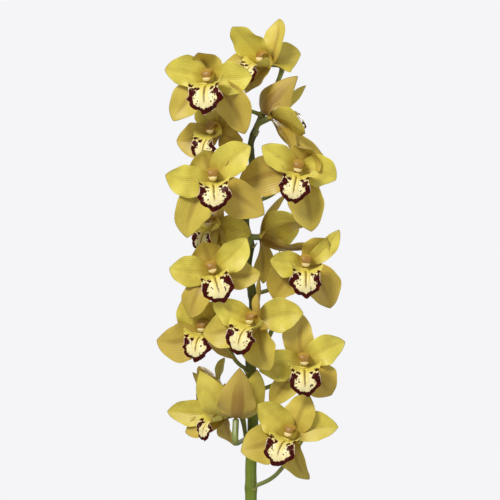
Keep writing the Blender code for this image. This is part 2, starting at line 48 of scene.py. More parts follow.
# %% [markdown]
# ## One kind of mesh for every piece
# A petal looks like a flat sheet, but a closed body is easier to light and to print. So a sheet is made as
# a flattened tube: the angle round the tube gives the place across the sheet as its cosine, and the side of
# the sheet as its sine. Stems, leaves, lips, bulbs and bark chips are all such tubes with closed ends.


# %% Tubes into meshes
def tube_faces(rows, columns, first):
    """Quads between neighbouring rings, then triangles from each end ring to its own middle point."""
    row, column = np.meshgrid(np.arange(rows - 1), np.arange(columns), indexing="ij")
    here = first + row * columns + column
    beside = first + row * columns + (column + 1) % columns
    quads = np.stack([here, beside, beside + columns, here + columns], axis=-1).reshape(-1, 4)
    ring = np.arange(columns)
    following = (ring + 1) % columns
    poles = first + rows * columns
    start = np.stack([np.full(columns, poles), first + following, first + ring], axis=-1)
    last = first + (rows - 1) * columns
    end = np.stack([np.full(columns, poles + 1), last + ring, last + following], axis=-1)
    return quads, np.concatenate([start, end])


def with_poles(grid):
    """The grid's points in one list, followed by the middles of its first and last rings."""
    return np.concatenate([grid.reshape(-1, 3), [grid[0].mean(0), grid[-1].mean(0)]])


def volume_of(points, quads):
    """Signed volume inside the quads, from the divergence theorem on two triangles of each."""
    a, b, c, d = (points[quads[:, i]] for i in range(4))
    return np.einsum("ij,ij->", a, np.cross(b, c)) + np.einsum("ij,ij->", a, np.cross(c, d))


def add_piece(name, tubes, material, stands_for=()):
    """One object from closed tubes. Each tube is a grid of points (rows, columns, 3) in millimetres and
    a dictionary of attributes, which are grids of the same shape for the materials to read."""
    points, faces, values, first = [], [], {}, 0
    for grid, attributes in tubes:
        rows, columns = grid.shape[:2]
        place = with_poles(grid)
        quads, triangles = tube_faces(rows, columns, 0)
        if volume_of(place - place.mean(0), quads) < 0:
            quads, triangles = quads[:, ::-1], triangles[:, ::-1]
        points.append(place * MM)
        faces += (quads + first).tolist() + (triangles + first).tolist()
        for key, value in attributes.items():
            values.setdefault(key, []).append(with_poles(value))
        first += len(place)
    mesh = bpy.data.meshes.new(name)
    mesh.from_pydata(np.concatenate(points).tolist(), [], faces)
    for key, value in values.items():
        layer = mesh.attributes.new(key, "FLOAT_VECTOR", "POINT")
        layer.data.foreach_set("vector", np.concatenate(value).astype(np.float32).ravel())
    mesh.shade_smooth()
    mesh.materials.append(material)
    piece = bpy.data.objects.new(name, mesh)
    bpy.context.scene.collection.objects.link(piece)
    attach(piece, "root")
    if stands_for:
        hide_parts(*stands_for)
    return piece


def smooth(value, low, high):
    """A ramp from 0 at low to 1 at high with soft ends: 3x² - 2x³."""
    x = np.clip((value - low) / (high - low), 0.0, 1.0)
    return x * x * (3.0 - 2.0 * x)


def triple(a, b, c, shape):
    """Three attributes side by side, each spread over the whole grid."""
    return np.stack([np.broadcast_to(v, shape).astype(float) for v in (a, b, c)], axis=-1)


def unit(v):
    return v / np.linalg.norm(v, axis=-1, keepdims=True)


def around(columns):
    """Even angles round a tube, as one row of a grid."""
    return np.linspace(0.0, 2.0 * np.pi, columns, endpoint=False)[None, :]


def shares(rows, crowding=1.0):
    """Shares of the length from 0 to 1, as one column of a grid, crowded towards the far end."""
    return (1.0 - (1.0 - np.linspace(0.0, 1.0, rows)) ** crowding)[:, None]


def points_at(x, y, height):
    """A grid of points from its three coordinates, each spread over the whole grid."""
    return np.stack(np.broadcast_arrays(x, y, height), axis=-1)


def walked(length, slope):
    """How far forward and up a line gets that goes by small even steps at the given slopes."""
    step = length / (len(slope) - 1)
    forward = np.concatenate([[0], np.cumsum(np.cos(slope[:-1]))]) * step
    rise = np.concatenate([[0], np.cumsum(np.sin(slope[:-1]))]) * step
    return forward, rise


print("tubes have closed ends and point outwards")

# %% [markdown]
# ## Colours and nodes
# Colours are written as sRGB hex, as a paint chart gives them, and turned to the linear values that a
# shader works in. A material could be drawn by hand in the node editor, but written as a chain of steps it
# reads like a recipe. One function adds any node: a socket given as an input is linked, a value is set.


# %% Colour and node helpers
def srgb(code):
    """Linear red, green, blue and alpha of a hex colour, by the sRGB transfer curve."""
    share = np.array([int(code[i : i + 2], 16) for i in (1, 3, 5)]) / 255.0
    linear = np.where(share <= 0.04045, share / 12.92, ((share + 0.055) / 1.055) ** 2.4)
    return (*linear.tolist(), 1.0)


def add_node(tree, kind, inputs=None, **settings):
    node = tree.nodes.new("ShaderNode" + kind)
    for key, value in settings.items():
        setattr(node, key, value)
    for key, value in (inputs or {}).items():
        if isinstance(value, bpy.types.NodeSocket):
            tree.links.new(value, node.inputs[key])
        else:
            node.inputs[key].default_value = value
    return node


def new_material(name, **constants):
    """A material's tree and its Principled shader, whose constant values are set on its own sockets."""
    material = bpy.data.materials.new(name)
    material.use_nodes = True
    shader = material.node_tree.nodes["Principled BSDF"]
    for key, value in constants.items():
        shader.inputs[key.replace("_", " ").title().replace("Ior", "IOR")].default_value = value
    return material, material.node_tree, shader


def mixed(tree, share, first, second, **settings):
    """The colour that goes from first to second as share goes from 0 to 1."""
    node = add_node(tree, "Mix", {0: share, 6: first, 7: second}, data_type="RGBA", **settings)
    return node.outputs[2]


def sloped(tree, value, low, high, to_low=0.0, to_high=1.0):
    """A soft ramp of a value: to_low at low, to_high at high."""
    inputs = {"Value": value, "From Min": low, "From Max": high, "To Min": to_low, "To Max": to_high}
    return add_node(tree, "MapRange", inputs, interpolation_type="SMOOTHSTEP").outputs[0]


def sums(tree, operation, first, second=0.0, third=0.0):
    return add_node(tree, "Math", {0: first, 1: second, 2: third}, operation=operation).outputs[0]


def read(tree, name):
    """The three numbers of a piece's own attribute."""
    source = add_node(tree, "Attribute", attribute_name=name)
    parts = add_node(tree, "SeparateXYZ", {0: source.outputs["Vector"]})
    return list(parts.outputs)


def noise(tree, size_mm, detail=3.0, stretch=(1.0, 1.0, 1.0), source=None):
    """Noise from 0 to 1 whose spots are size_mm across, on Object coordinates."""
    if source is None:
        source = add_node(tree, "TexCoord").outputs["Object"]
    scale = tuple(v / (size_mm * MM) for v in stretch)
    placed = add_node(tree, "Mapping", {"Vector": source, "Scale": scale})
    inputs = {"Vector": placed.outputs[0], "Scale": 1.0, "Detail": detail, "Roughness": 0.55}
    return add_node(tree, "TexNoise", inputs).outputs[0]


def bumped(tree, shader, height, distance_mm, strength=1.0):
    inputs = {"Height": height, "Distance": distance_mm * MM, "Strength": strength}
    tree.links.new(add_node(tree, "Bump", inputs).outputs[0], shader.inputs["Normal"])


print("a mid yellow is", [round(v, 3) for v in srgb("#C9BD4A")[:3]])

# %% [markdown]
# ## The spray's plan
# Each flower has a heart, the point that its petals, lip and column grow from, and a direction that it
# faces. The plan gives these for all the flowers, from the tip of the spray down, with the way that every
# petal and sepal leans. No formula gives that: it is chosen one by one, as an arranger would turn each
# bloom.
# Positions are right, back and up in millimetres, and angles are in degrees. A row holds the heart's place,
# its yaw, pitch and roll, the height where its stalk leaves the stem, the lip's size and how wide it opens,
# and then five petals. Each of those is its tip's place from the heart, its width, how far it bows forward,
# its twist and how far it sweeps aside.

# %% Flowers
SPRAY_FOOT = 430.0
TEPALS = ("dorsal_sepal", "left_petal", "right_petal", "left_sepal", "right_sepal")
FLOWERS = {
    "flower_01": ((20, -5, 436), (-46, 10, 4), 404, (1.0, 0.95), [
        (10, 6, 44, 26, 4, 0, -6), (-37, -14, 37, 32, 2, 0, 0), (31, 8, 10, 28, 2, 40, 2),
        (-48, 14, -2, 20, 3, 0, 0), (-24, -10, -30, 24, 3, 0, 0)]),
    "flower_02": ((-39, -44, 419), (-14, -6, -4), 385, (1.12, 1.05), [
        (-12, -20, 25, 32, -8, 0, 0), (-45, -6, 9, 29, 3, 0, -2), (41, -8, 2, 31, 3, 0, 0),
        (-36, 4, -41, 29, 3, 0, -3), (34, 6, -53, 32, 3, 0, 5)]),
    "flower_03": ((20, -8, 382), (86, 28, 0), 366, (0.9, 0.7), [
        (28, -8, 41, 34, -19, 60, 0), (34, -29, -17, 34, 3, -10, -3), (37, 14, 32, 20, -6, 20, 0),
        (22, -10, -36, 22, 4, 35, 0), (56, 10, -41, 22, -6, 50, 0)]),
    "flower_04": ((-31, -12, 369), (-34, -8, 0), 350, (1.05, 0.9), [
        (6, 12, 31, 22, 3, 0, 0), (-20, 8, 22, 22, 2, 0, 0), (18, 12, 16, 22, 2, 0, 0),
        (-42, 4, -10, 32, 3, 0, 3), (24, -8, -8, 28, 3, 0, -3)]),
    "flower_05": ((-37, -52, 320), (2, -2, -3), 292, (1.08, 1.0), [
        (-9, -8, 29, 38, -2, 0, 0), (-46, -6, 4, 30, 3, 0, 3), (38, -8, 32, 31, 2, 0, 3),
        (-25, 4, -58, 33, 4, 0, -7), (51, 4, -35, 34, 4, 0, 0)]),
    "flower_06": ((48, -40, 330), (-4, -8, 10), 296, (1.06, 0.95), [
        (16, -24, 20, 34, -8, 0, 0), (-36, -8, 23, 24, 3, 0, 0), (37, -7, -11, 30, 2, 0, 4),
        (-58, 8, -14, 38, 4, 0, -2), (13, 6, -61, 33, 4, 0, 2)]),
    "flower_07": ((-32, -12, 276), (-38, -6, 0), 254, (0.95, 0.85), [
        (4, 10, 24, 22, 3, 0, 0), (-24, 8, 9, 22, 2, 0, 0), (33, -8, -10, 32, 3, 0, 0),
        (-13, 12, -30, 20, 3, 0, 0), (6, 2, -26, 20, 3, 0, 0)]),
    "flower_08": ((-37, -46, 229), (2, -2, -16), 166, (1.08, 1.0), [
        (-9, -14, 30, 34, -4, 0, 0), (-43, -8, 3, 29, 3, 0, 2), (34, -8, 33, 27, 2, 0, -2),
        (-23, 2, -47, 28, 8, 25, -4), (46, 4, -1, 28, 4, 0, -4)]),
    "flower_09": ((54, -38, 236), (4, -6, 4), 205, (1.04, 1.0), [
        (22, -14, 25, 26, -6, 0, 0), (-34, -8, 4, 24, 3, 0, 0), (34, -6, 34, 16, 3, 0, -3),
        (-30, 6, -35, 32, 3, 0, -4), (25, 4, -43, 32, 4, 0, 4)]),
    "flower_10": ((10, -6, 263), (102, 4, 0), 254, (0.55, 0.35), [
        (28, 10, 43, 20, -8, -30, 0), (48, -28, 14, 32, -3, 66, -6), (38, 16, 8, 24, 3, 0, 0),
        (60, -32, -2, 22, 2, 70, 12), (2, 12, -46, 22, 2, 75, 0)]),
    "flower_11": ((8, -58, 179), (-34, -2, 4), 138, (1.1, 1.0), [
        (5, 0, 43, 24, 3, -60, 0), (-44, -8, 21, 26, 3, 0, 0), (44, 2, 8, 32, 3, 0, 3),
        (-54, 0, -12, 34, 4, 0, 2), (12, -8, -48, 34, 5, 0, 0)]),
    "flower_12": ((53, -44, 139), (2, -6, 0), 108, (1.04, 1.0), [
        (0, -4, 47, 28, 3, 0, 4), (-44, -8, -9, 30, 4, 0, -4), (41, -8, 20, 27, 3, 0, 3),
        (-32, 6, -43, 23, 3, 0, -2), (28, 6, -33, 34, 4, 0, 0)]),
    "flower_13": ((-42, -28, 171), (-24, -4, 0), 128, (1.0, 1.0), [
        (14, 8, 29, 24, -3, 0, 0), (-25, -8, 30, 28, 3, 0, 0), (32, 2, 9, 22, 3, 0, 0),
        (-50, -2, -10, 36, 4, 0, 6), (28, -2, -30, 18, 3, 40, 0)]),
    "flower_14": ((-14, -46, 83), (180, 78, 0), 62, (0.2, 0.4), [
        (-12, 24, 34, 24, -9, 0, 0), (-36, -6, 48, 30, -9, 58, 0), (21, -4, 49, 28, -10, -50, 6),
        (17, 27, 32, 18, -8, 0, 0), (4, -21, 51, 36, -14, 0, 0)]),
    "flower_15": ((-25, -20, 85), (-52, 2, 0), 50, (0.85, 0.9), [
        (-31, 4, 45, 26, -6, 0, 0), (-20, 16, 30, 22, 2, 0, 0), (-57, 14, 4, 24, 2, 0, 0),
        (10, 14, -30, 22, 3, 0, 0), (-40, 6, -16, 22, 2, 0, 3)]),
    "flower_16": ((-30, 12, 112), (-120, 10, 0), 96, (0.7, 0.6), [
        (-20, 4, 22, 20, 3, 0, 0), (4, 8, 30, 16, 2, 0, 0), (-18, -8, 4, 24, 5, 50, 0),
        (16, 12, -22, 20, 3, 0, 0), (-14, 8, -28, 20, 3, 0, 0)]),
    "flower_17": ((42, -46, 66), (-19, 4, 12), 12, (1.08, 1.0), [
        (16, -6, 42, 31, 3, 0, 0), (-34, -8, 32, 29, 3, 0, -3), (45, -8, 9, 27, 3, 0, 3),
        (-51, -8, -15, 37, 4, 0, 0), (16, 4, -44, 27, 6, 25, -3)]),
}


def axes(yaw, pitch, roll):
    """A flower's own directions: its right as seen from the front, the way it faces, and its up."""
    a, b, c = np.radians([yaw, pitch, roll])
    right = np.array([np.cos(a), np.sin(a), 0.0])
    face = np.array([np.sin(a) * np.cos(b), -np.cos(a) * np.cos(b), np.sin(b)])
    up = np.cross(face, right)
    return right * np.cos(c) - up * np.sin(c), face, up * np.cos(c) + right * np.sin(c)


hearts = {name: row[0] + SPRAY_FOOT * UP for name, row in FLOWERS.items()}
turns = {name: axes(*row[1]) for name, row in FLOWERS.items()}
print(len(FLOWERS), "flowers,", len(FLOWERS) * len(TEPALS), "petals and sepals")

# %% [markdown]
# ## Petals and sepals
# Orchids have three sepals and two petals that look much alike, so botanists call them all tepals. A
# cymbidium's are about a millimetre thick and waxy, with a crease down the middle, veins that run from foot
# to tip and a soft point. They could be sculpted one by one, but a formula with a few chances in it gives
# every one of them its own shape. The middle line is a parabola from the heart to the tip. Across it the
# sheet is cupped, and along its edges it ripples a little, because the edges grow faster than the middle.

# %% Tepal surface
TEPAL_THICKNESS = 0.9
TEPAL_BASE_SHARE = 0.26
TEPAL_WIDEST = 0.52
TEPAL_CUP = 0.16
CUP_SPREAD = (0.5, 1.5)
LEAN_SPREAD = (-0.14, 0.14)
NOTCH_DEPTH = 0.045
RIPPLE_WAVES = (1.3, 2.2)
RIPPLE_MM = (0.9, 1.9)
SWAY_MM = (0.6, 1.5)
FOLD_SLOPE = (0.05, 0.22)
CREASE_MM = 0.6
CURL_MM = (-1.5, 4.0)
WHORL_STEP = 1.5
TEPAL_ROWS = 34
TEPAL_COLUMNS = 44


def tepal_half_width(s, width):
    """Half the width: grows as a parabola to the widest place, then falls to a small soft point."""
    inner = 1.0 - (1.0 - TEPAL_BASE_SHARE) * np.clip(1.0 - s / TEPAL_WIDEST, 0.0, 1.0) ** 2
    outer = 1.0 - np.clip((s - TEPAL_WIDEST) / (1.0 - TEPAL_WIDEST), 0.0, 1.0) ** 1.8
    return width / 2.0 * inner * outer**0.84 + 1.2 * (1.0 - s**6) + 0.12


def tepal_tube(heart, face, ahead, tip, width, bow, twist, sweep, sepal):
    """The middle line is a quadratic curve from the heart to the tip. At a share s along it, the ring
    spreads t = cos(angle) of the half width to each side and sin(angle) of half the thickness to front
    and back. The cup lifts the edges by t², and the fold by |t|, which fades towards the tip. The ripple
    is a sine along the edge times |t|³, the sway a slow wave of the whole blade, and the tip curls."""
    tip = np.array(tip, float)
    side = unit(np.cross(face, tip))
    start = unit(tip) * 2.4 + face * ahead
    middle = (start + tip) / 2.0 + face * (2.0 * bow) + side * (2.0 * sweep)
    s = shares(TEPAL_ROWS, 1.25)[..., None]
    angle = around(TEPAL_COLUMNS)[..., None]
    t, front = np.cos(angle), np.sin(angle)
    line = start * (1 - s) ** 2 + middle * (2 * s * (1 - s)) + tip * s**2
    run = unit((middle - start) * (1 - s) + (tip - middle) * s)
    out = unit(np.cross(run, side))
    out = out * np.sign(out @ face)[..., None]
    turn = np.radians(twist) * (1.0 - (1.0 - s) ** 3)
    flat = np.cross(out, run)
    across = flat * np.cos(turn) + out * np.sin(turn)
    out = out * np.cos(turn) - flat * np.sin(turn)
    half = tepal_half_width(s, width)
    lean, notch = chance.uniform(*LEAN_SPREAD), chance.uniform(0.0, 6.3)
    half = half * (1.0 + lean * t * np.sin(np.pi * s))
    half = half * (1.0 + NOTCH_DEPTH * np.sin(15.0 * s + notch + 2.0 * np.sign(t)) * smooth(s, 0.3, 0.6))
    phase, waves = chance.uniform(0, 6.3), chance.uniform(*RIPPLE_WAVES)
    ripple = chance.uniform(*RIPPLE_MM) * np.abs(t) ** 3 * half / 14
    ripple = ripple * np.sin(2 * np.pi * waves * s + phase + 1.3 * np.sign(t))
    sway = chance.uniform(*SWAY_MM) * np.sin(np.pi * (1.6 * s + phase)) * t * half / 12
    fold = chance.uniform(*FOLD_SLOPE) * np.sqrt(t**2 + 0.006) * half * (1.0 - s) ** 0.5
    crease = -CREASE_MM * np.exp(-((t / 0.07) ** 2)) * np.sin(np.pi * s)
    curl = chance.uniform(*CURL_MM) * smooth(s, 0.55, 1.0) ** 2
    cup = TEPAL_CUP * half * t**2 * chance.uniform(*CUP_SPREAD)
    lift = cup + (fold + ripple + sway + crease + curl) * smooth(s, 0.05, 0.3)
    lift = lift + front * TEPAL_THICKNESS / 2 * (1.0 - 0.35 * s)
    grid = heart + line + across * (t * half) + out * lift
    shape = grid.shape[:2]
    rim = (1.0 - np.abs(t)) * half + np.clip(1.0 - s, 0.0, 1.0) * 4.0
    tone = chance.uniform(0.0, 1.0)
    return grid, {
        "skin": triple(t[..., 0], s[..., 0], front[..., 0], shape),
        "mark": triple(rim[..., 0], tone, float(sepal), shape),
    }


# %% [markdown]
# ## A waxy petal
# The living petal is water-filled cells under a thin wax, so it has a broad soft gloss and glows a little
# where light comes through. Brown is painted deepest at the foot and along the crease, partly the tepal's
# own blush and partly painted shade where the tepals meet and in the fold. Sepals are tanner than petals,
# because they were the outside of the bud, and the backs of all of them are painted darker, most on sepals,
# partly their own tan and partly painted shade. Every vein darkens the surface a touch and stands up by a
# tenth of a millimetre. The pattern is worked out from the share along and across each petal, so veins
# follow its shape and stay sharp close up: a vein each 2 mm or so and blotches about 14 mm.

# %% Petal material
PETAL_YELLOW = "#E0D256"
PETAL_SHADE = "#CFBC48"
SEPAL_TAN = "#C9AE4A"
SEPAL_BACK_AND_SHADE = "#B59A46"
CREASE_BROWN = "#8A5E22"
EDGE_OLIVE = "#75611C"
VEINS_PER_SIDE = 8.0
BLOTCH_MM = 14.0
WAX_GLOW_MM = (3.0, 3.0, 1.0)


def glowing(shader, weight, reach_mm):
    """Light enters and comes out again a little way off, farthest in the red."""
    shader.inputs["Subsurface Weight"].default_value = weight
    shader.inputs["Subsurface Radius"].default_value = [v * MM for v in reach_mm]
    shader.inputs["Subsurface Scale"].default_value = 0.5


def petal_material():
    material, tree, shader = new_material("waxy_yellow_petal", ior=1.42, roughness=0.42)
    t, s, front = read(tree, "skin")
    rim, tone, sepal = read(tree, "mark")
    cloud = sloped(tree, sums(tree, "MULTIPLY_ADD", tone, 0.25, noise(tree, BLOTCH_MM)), 0.45, 0.85)
    fresh = mixed(tree, cloud, srgb(PETAL_YELLOW), srgb(PETAL_SHADE))
    tan = mixed(tree, sums(tree, "MULTIPLY", sepal, sloped(tree, tone, -0.6, 1.0, 0.25, 0.95)),
                fresh, srgb(SEPAL_TAN))
    # the backs are painted darker, partly the sepals' own tan and partly painted shade
    back = sloped(tree, front, 0.0, -0.4)
    behind = sums(tree, "MULTIPLY", back, sums(tree, "MULTIPLY_ADD", sepal, 0.3, 0.25))
    body = mixed(tree, behind, tan, srgb(SEPAL_BACK_AND_SHADE))
    # the brown stripe along the crease and the brown at the foot are partly the tepal's own blush and partly
    # painted shade in the fold and where the tepals meet
    spread = sums(tree, "MULTIPLY_ADD", sums(tree, "MULTIPLY", back, sepal), 0.2, 0.14)
    beside = sums(tree, "SUBTRACT", sums(tree, "ABSOLUTE", t), spread)
    line = sums(tree, "MULTIPLY", sloped(tree, beside, 0.1, -0.08), sloped(tree, s, 1.0, 0.6))
    depth = sums(tree, "MULTIPLY_ADD", sepal, sloped(tree, back, 0.0, 1.0, 0.24, 0.5), 0.14)
    creased = mixed(tree, sums(tree, "MULTIPLY", line, depth), body, srgb(CREASE_BROWN))
    foot = mixed(tree, sloped(tree, s, 0.42, 0.0, 0.0, 0.5), creased, srgb(CREASE_BROWN))
    vein = sums(tree, "SINE", sums(tree, "MULTIPLY", t, VEINS_PER_SIDE * 2.0 * np.pi))
    worn = sloped(tree, noise(tree, 9.0), 0.2, 0.7)
    streaks = sums(tree, "MULTIPLY", sloped(tree, vein, 0.2, 1.0, 0.0, 0.34), worn)
    veined = mixed(tree, streaks, foot, srgb(CREASE_BROWN))
    edged = mixed(tree, sloped(tree, rim, 1.5, 0.5, 0.0, 0.7), veined, srgb(EDGE_OLIVE))
    tree.links.new(edged, shader.inputs["Base Color"])
    glowing(shader, 0.12, WAX_GLOW_MM)
    relief = sums(tree, "MULTIPLY_ADD", vein, 0.5, sums(tree, "MULTIPLY", noise(tree, 1.2), 0.6))
    bumped(tree, shader, relief, 0.12, 0.7)
    return material


petal = petal_material()
for name, row in FLOWERS.items():
    _, face, _ = turns[name]
    blades = []
    for kind, blade in zip(TEPALS, row[4]):
        is_sepal = kind.endswith("sepal")
        ahead = -WHORL_STEP / 2.0 if is_sepal else WHORL_STEP
        blades.append(tepal_tube(hearts[name], face, ahead, blade[:3], *blade[3:], is_sepal))
    add_piece(name + "_petals", blades, petal, [name + "_tepals"])
print("each flower's petals:", len(blades), "closed sheets")

# %% [markdown]
# ## The lip
# The third petal is the lip, the landing stage for a bee. Its side lobes stand up beside the column, its
# waist carries two ridges, the keels, and its mid lobe rolls down in front with a ruffled edge. A cloth
# simulation could fold it, but growth made these curves and not weight. So it is one sheet again, whose
# middle line first runs forward and then turns down and back at an even rate.

# %% Lip surface
LIP_THICKNESS = 1.0
LIP_LENGTH = 42.0
LIP_START = (6.2, -4.6)
LIP_SLOPE = (-8.0, -116.0)
LIP_CLAW = 6.0
LIP_LOBE = 9.5
SIDE_LOBE = 12.0
SIDE_FLARE = 2.5
LIP_ROLL = 14.5
LIP_ARCH = 0.012
LIP_MID = 0.62
KEEL_OFFSET = 2.3
KEEL_HEIGHT = 1.5
RUFFLE = 1.9
LIP_ROWS = 64
LIP_COLUMNS = 96


def lip_middle(u):
    """The middle line in the flower's (forward, up) plane, which turns down over its middle stretch."""
    fine = np.linspace(0.0, 1.0, 401)
    turn = np.clip((fine - 0.30) / 0.62, 0.0, 1.0)
    slope = np.radians(LIP_SLOPE[0] + (LIP_SLOPE[1] - LIP_SLOPE[0]) * turn)
    forward, rise = walked(LIP_LENGTH, slope)
    return np.interp(u, fine, forward), np.interp(u, fine, rise), np.interp(u, fine, slope)


def lip_tube(heart, directions, scale, narrow):
    """Half the width is a claw plus a bell for the side lobes and a step for the mid lobe, and the far
    end closes to a blunt point. Across, the side lobes follow an arc of the roll's radius, which opens to
    a slightly arched sheet on the mid lobe. Ruffles are sines round the edge, strongest at the rim, and
    the keels are two narrow bells either side of the middle."""
    right, face, up = directions
    root = heart + face * LIP_START[0] + up * LIP_START[1]
    u = shares(LIP_ROWS, 1.7)
    angle = around(LIP_COLUMNS)
    v, front = np.cos(angle), np.sin(angle)
    forward, rise, slope = lip_middle(u)
    side_lobe = SIDE_LOBE * np.exp(-(((u - 0.24) / 0.19) ** 2))
    mid_lobe = LIP_LOBE * np.clip((u - 0.42) / 0.20, 0.0, 1.0) ** 0.8
    outer = np.clip((u - LIP_MID) / (1.0 - LIP_MID), 0.0, 1.0)
    half = (LIP_CLAW + side_lobe + mid_lobe) * np.clip(1.0 - outer**1.5, 0.0002, 1.0) ** 0.6
    widest = LIP_CLAW + LIP_LOBE + 0.5
    round_edge = np.arctan2(v * half, outer * widest + 1e-6) - np.sign(v) * np.clip(LIP_MID - u, 0, 1) * 2.6
    edge = np.clip(np.hypot(v * half / widest, outer) * (u > LIP_MID) + np.abs(v) * (u <= LIP_MID), 0, 1)
    phase = chance.uniform(0.0, 6.3)
    ruffle = np.sin(7.0 * round_edge + phase) + 0.6 * np.sin(12.0 * round_edge + 2.0 * phase)
    frill = smooth(u, 0.38, 0.6)
    half = half * (1.0 + 0.06 * frill * np.sin(8.0 * round_edge + 1.7 * phase))
    rolled = 1.0 - np.clip((u - 0.42) / 0.22, 0.0, 1.0)
    bend = LIP_ROLL / np.maximum(rolled, 0.05)
    x = bend * np.sin(v * half / bend) + SIDE_FLARE * v**3 * rolled
    lift = bend * (1.0 - np.cos(v * half / bend)) - (1.0 - rolled) * LIP_ARCH * (v * half) ** 2
    lift = lift + RUFFLE * ruffle * frill * edge**4
    keel = np.exp(-(((np.abs(v * half) - KEEL_OFFSET) / 1.0) ** 2))
    lift = lift + KEEL_HEIGHT * keel * smooth(u, 0.05, 0.2) * smooth(u, 0.74, 0.5) * (front > -0.2)
    lift = lift + front * LIP_THICKNESS / 2
    forward = forward - narrow * np.sin(slope) * lift + SIDE_FLARE * v**2 * rolled * narrow
    rise = rise + narrow * np.cos(slope) * lift
    place = (narrow * x)[..., None] * right + forward[..., None] * face + rise[..., None] * up
    rim = np.where(u > LIP_MID, (1.0 - edge) * widest, (1.0 - np.abs(v)) * half)
    shape = place.shape[:2]
    return root + place * scale, {
        "skin": triple(v * half, u * LIP_LENGTH, front, shape),
        "mark": triple(rim, chance.uniform(0.0, 1.0), edge, shape),
    }


# %% [markdown]
# ## The marks on the lip
# The lip is cream where a bee should walk, and lemon on its side lobes. Along the front of the mid lobe runs
# a ragged band of wine red about 5 mm wide, inside a hair of pale edge. A few spots of the same red stand
# either side, where the mid lobe begins, and each is given by how far aside and along it lies and by its
# radius. The band is drawn from the distance to the edge, which the mesh carries as an attribute, and noise
# of 2 mm tears its inner side.

# %% Lip material
LIP_CREAM = "#F0E2A6"
LIP_LEMON = "#E3D461"
LIP_WINE = "#2A0402"
LIP_WINE_LIGHT = "#540E06"
KEEL_YELLOW = "#E8D25A"
LIP_PALE_EDGE = "#EFD3BE"
LIP_GROOVE_AND_SHADE = "#6E5412"
BAND_MM = 5.4
SPOTS = ((9.6, 22.0, 3.0), (6.0, 18.4, 1.8), (10.6, 16.6, 1.6))
DOT_MM = 1.9
TEAR_MM = 2.2
LIP_GLOW_MM = (3.0, 2.0, 1.0)


def lip_material():
    material, tree, shader = new_material("cream_and_wine_lip", ior=1.42, roughness=0.4)
    across, along, front = read(tree, "skin")
    rim = read(tree, "mark")[0]
    aside = sums(tree, "ABSOLUTE", across)
    ragged = sums(tree, "SUBTRACT", noise(tree, TEAR_MM, 4.0), 0.5)
    tint = sloped(tree, along, 21.0, 14.0)
    base = mixed(tree, tint, srgb(LIP_CREAM), srgb(LIP_LEMON))
    keel = sums(tree, "MULTIPLY", sloped(tree, aside, 4.5, 2.5), sloped(tree, along, 34.0, 24.0))
    base = mixed(tree, sums(tree, "MULTIPLY", keel, 0.6), base, srgb(KEEL_YELLOW))
    # the groove between the keels is painted dark gold, partly its own colour and partly painted shade under
    # the column
    groove_width = sums(tree, "MULTIPLY_ADD", ragged, 1.6, 0.75)
    groove = sums(tree, "MULTIPLY", sloped(tree, sums(tree, "SUBTRACT", aside, groove_width), 0.35, -0.1),
                  sums(tree, "MULTIPLY", sloped(tree, along, 8.0, 12.0), sloped(tree, along, 34.0, 28.0)))
    throat = mixed(tree, sums(tree, "MULTIPLY", groove, 0.85), base, srgb(LIP_GROOVE_AND_SHADE))
    inner = sums(tree, "MULTIPLY_ADD", ragged, 5.0, BAND_MM)
    band = sums(tree, "MULTIPLY", sloped(tree, sums(tree, "SUBTRACT", rim, inner), 0.25, -0.25),
                sloped(tree, sums(tree, "MULTIPLY_ADD", ragged, 7.0, along), 21.5, 23.5))
    where = sums(tree, "MULTIPLY", sloped(tree, along, 12.0, 15.0), sloped(tree, aside, 3.5, 5.0))
    dots = sums(tree, "MULTIPLY", sloped(tree, noise(tree, DOT_MM, 0.0), 0.66, 0.7), where)
    marks = sums(tree, "MAXIMUM", band, dots)
    for right, forward, radius in SPOTS:
        far = sums(tree, "POWER", sums(tree, "SUBTRACT", aside, right), 2.0)
        deep = sums(tree, "POWER", sums(tree, "SUBTRACT", along, forward), 2.0)
        reach = sums(tree, "SQRT", sums(tree, "ADD", far, deep))
        torn = sums(tree, "MULTIPLY_ADD", ragged, -6.0, reach)
        marks = sums(tree, "MAXIMUM", marks, sloped(tree, torn, radius + 0.25, radius - 0.25))
    wine = mixed(tree, noise(tree, 3.0), srgb(LIP_WINE), srgb(LIP_WINE_LIGHT))
    marked = mixed(tree, sums(tree, "MULTIPLY", marks, sloped(tree, front, -0.3, 0.0, 0.25, 1.0)),
                   throat, wine)
    edged = mixed(tree, sums(tree, "MULTIPLY", sloped(tree, rim, 0.6, 0.3),
                             sloped(tree, along, 19.0, 22.0)), marked, srgb(LIP_PALE_EDGE))
    tree.links.new(edged, shader.inputs["Base Color"])
    tree.links.new(sloped(tree, marks, 0.0, 1.0, 0.5, 0.15), shader.inputs["Specular IOR Level"])
    glowing(shader, 0.06, LIP_GLOW_MM)
    bumped(tree, shader, noise(tree, 0.9), 0.12, 0.8)
    return material


lip = lip_material()
for name, row in FLOWERS.items():
    grid, attributes = lip_tube(hearts[name], turns[name], *row[3])
    add_piece(name + "_lip_sheet", [(grid, attributes)], lip, [name + "_lip"])
print("lips of", LIP_ROWS, "rings each")

# %% [markdown]
# ## The column
# An orchid's stamen and pistil are joined in one club, the column, that arches over the lip. Its hood is
# tan, its underside is a hollow with the sticky stigma, and a cream cap at its tip covers the pollen. The
# hollow could be cut out with a Boolean, but a cut leaves hard corners that no flower has. So the hood is
# a tube whose ring is wider than it is deep, and dented from below.

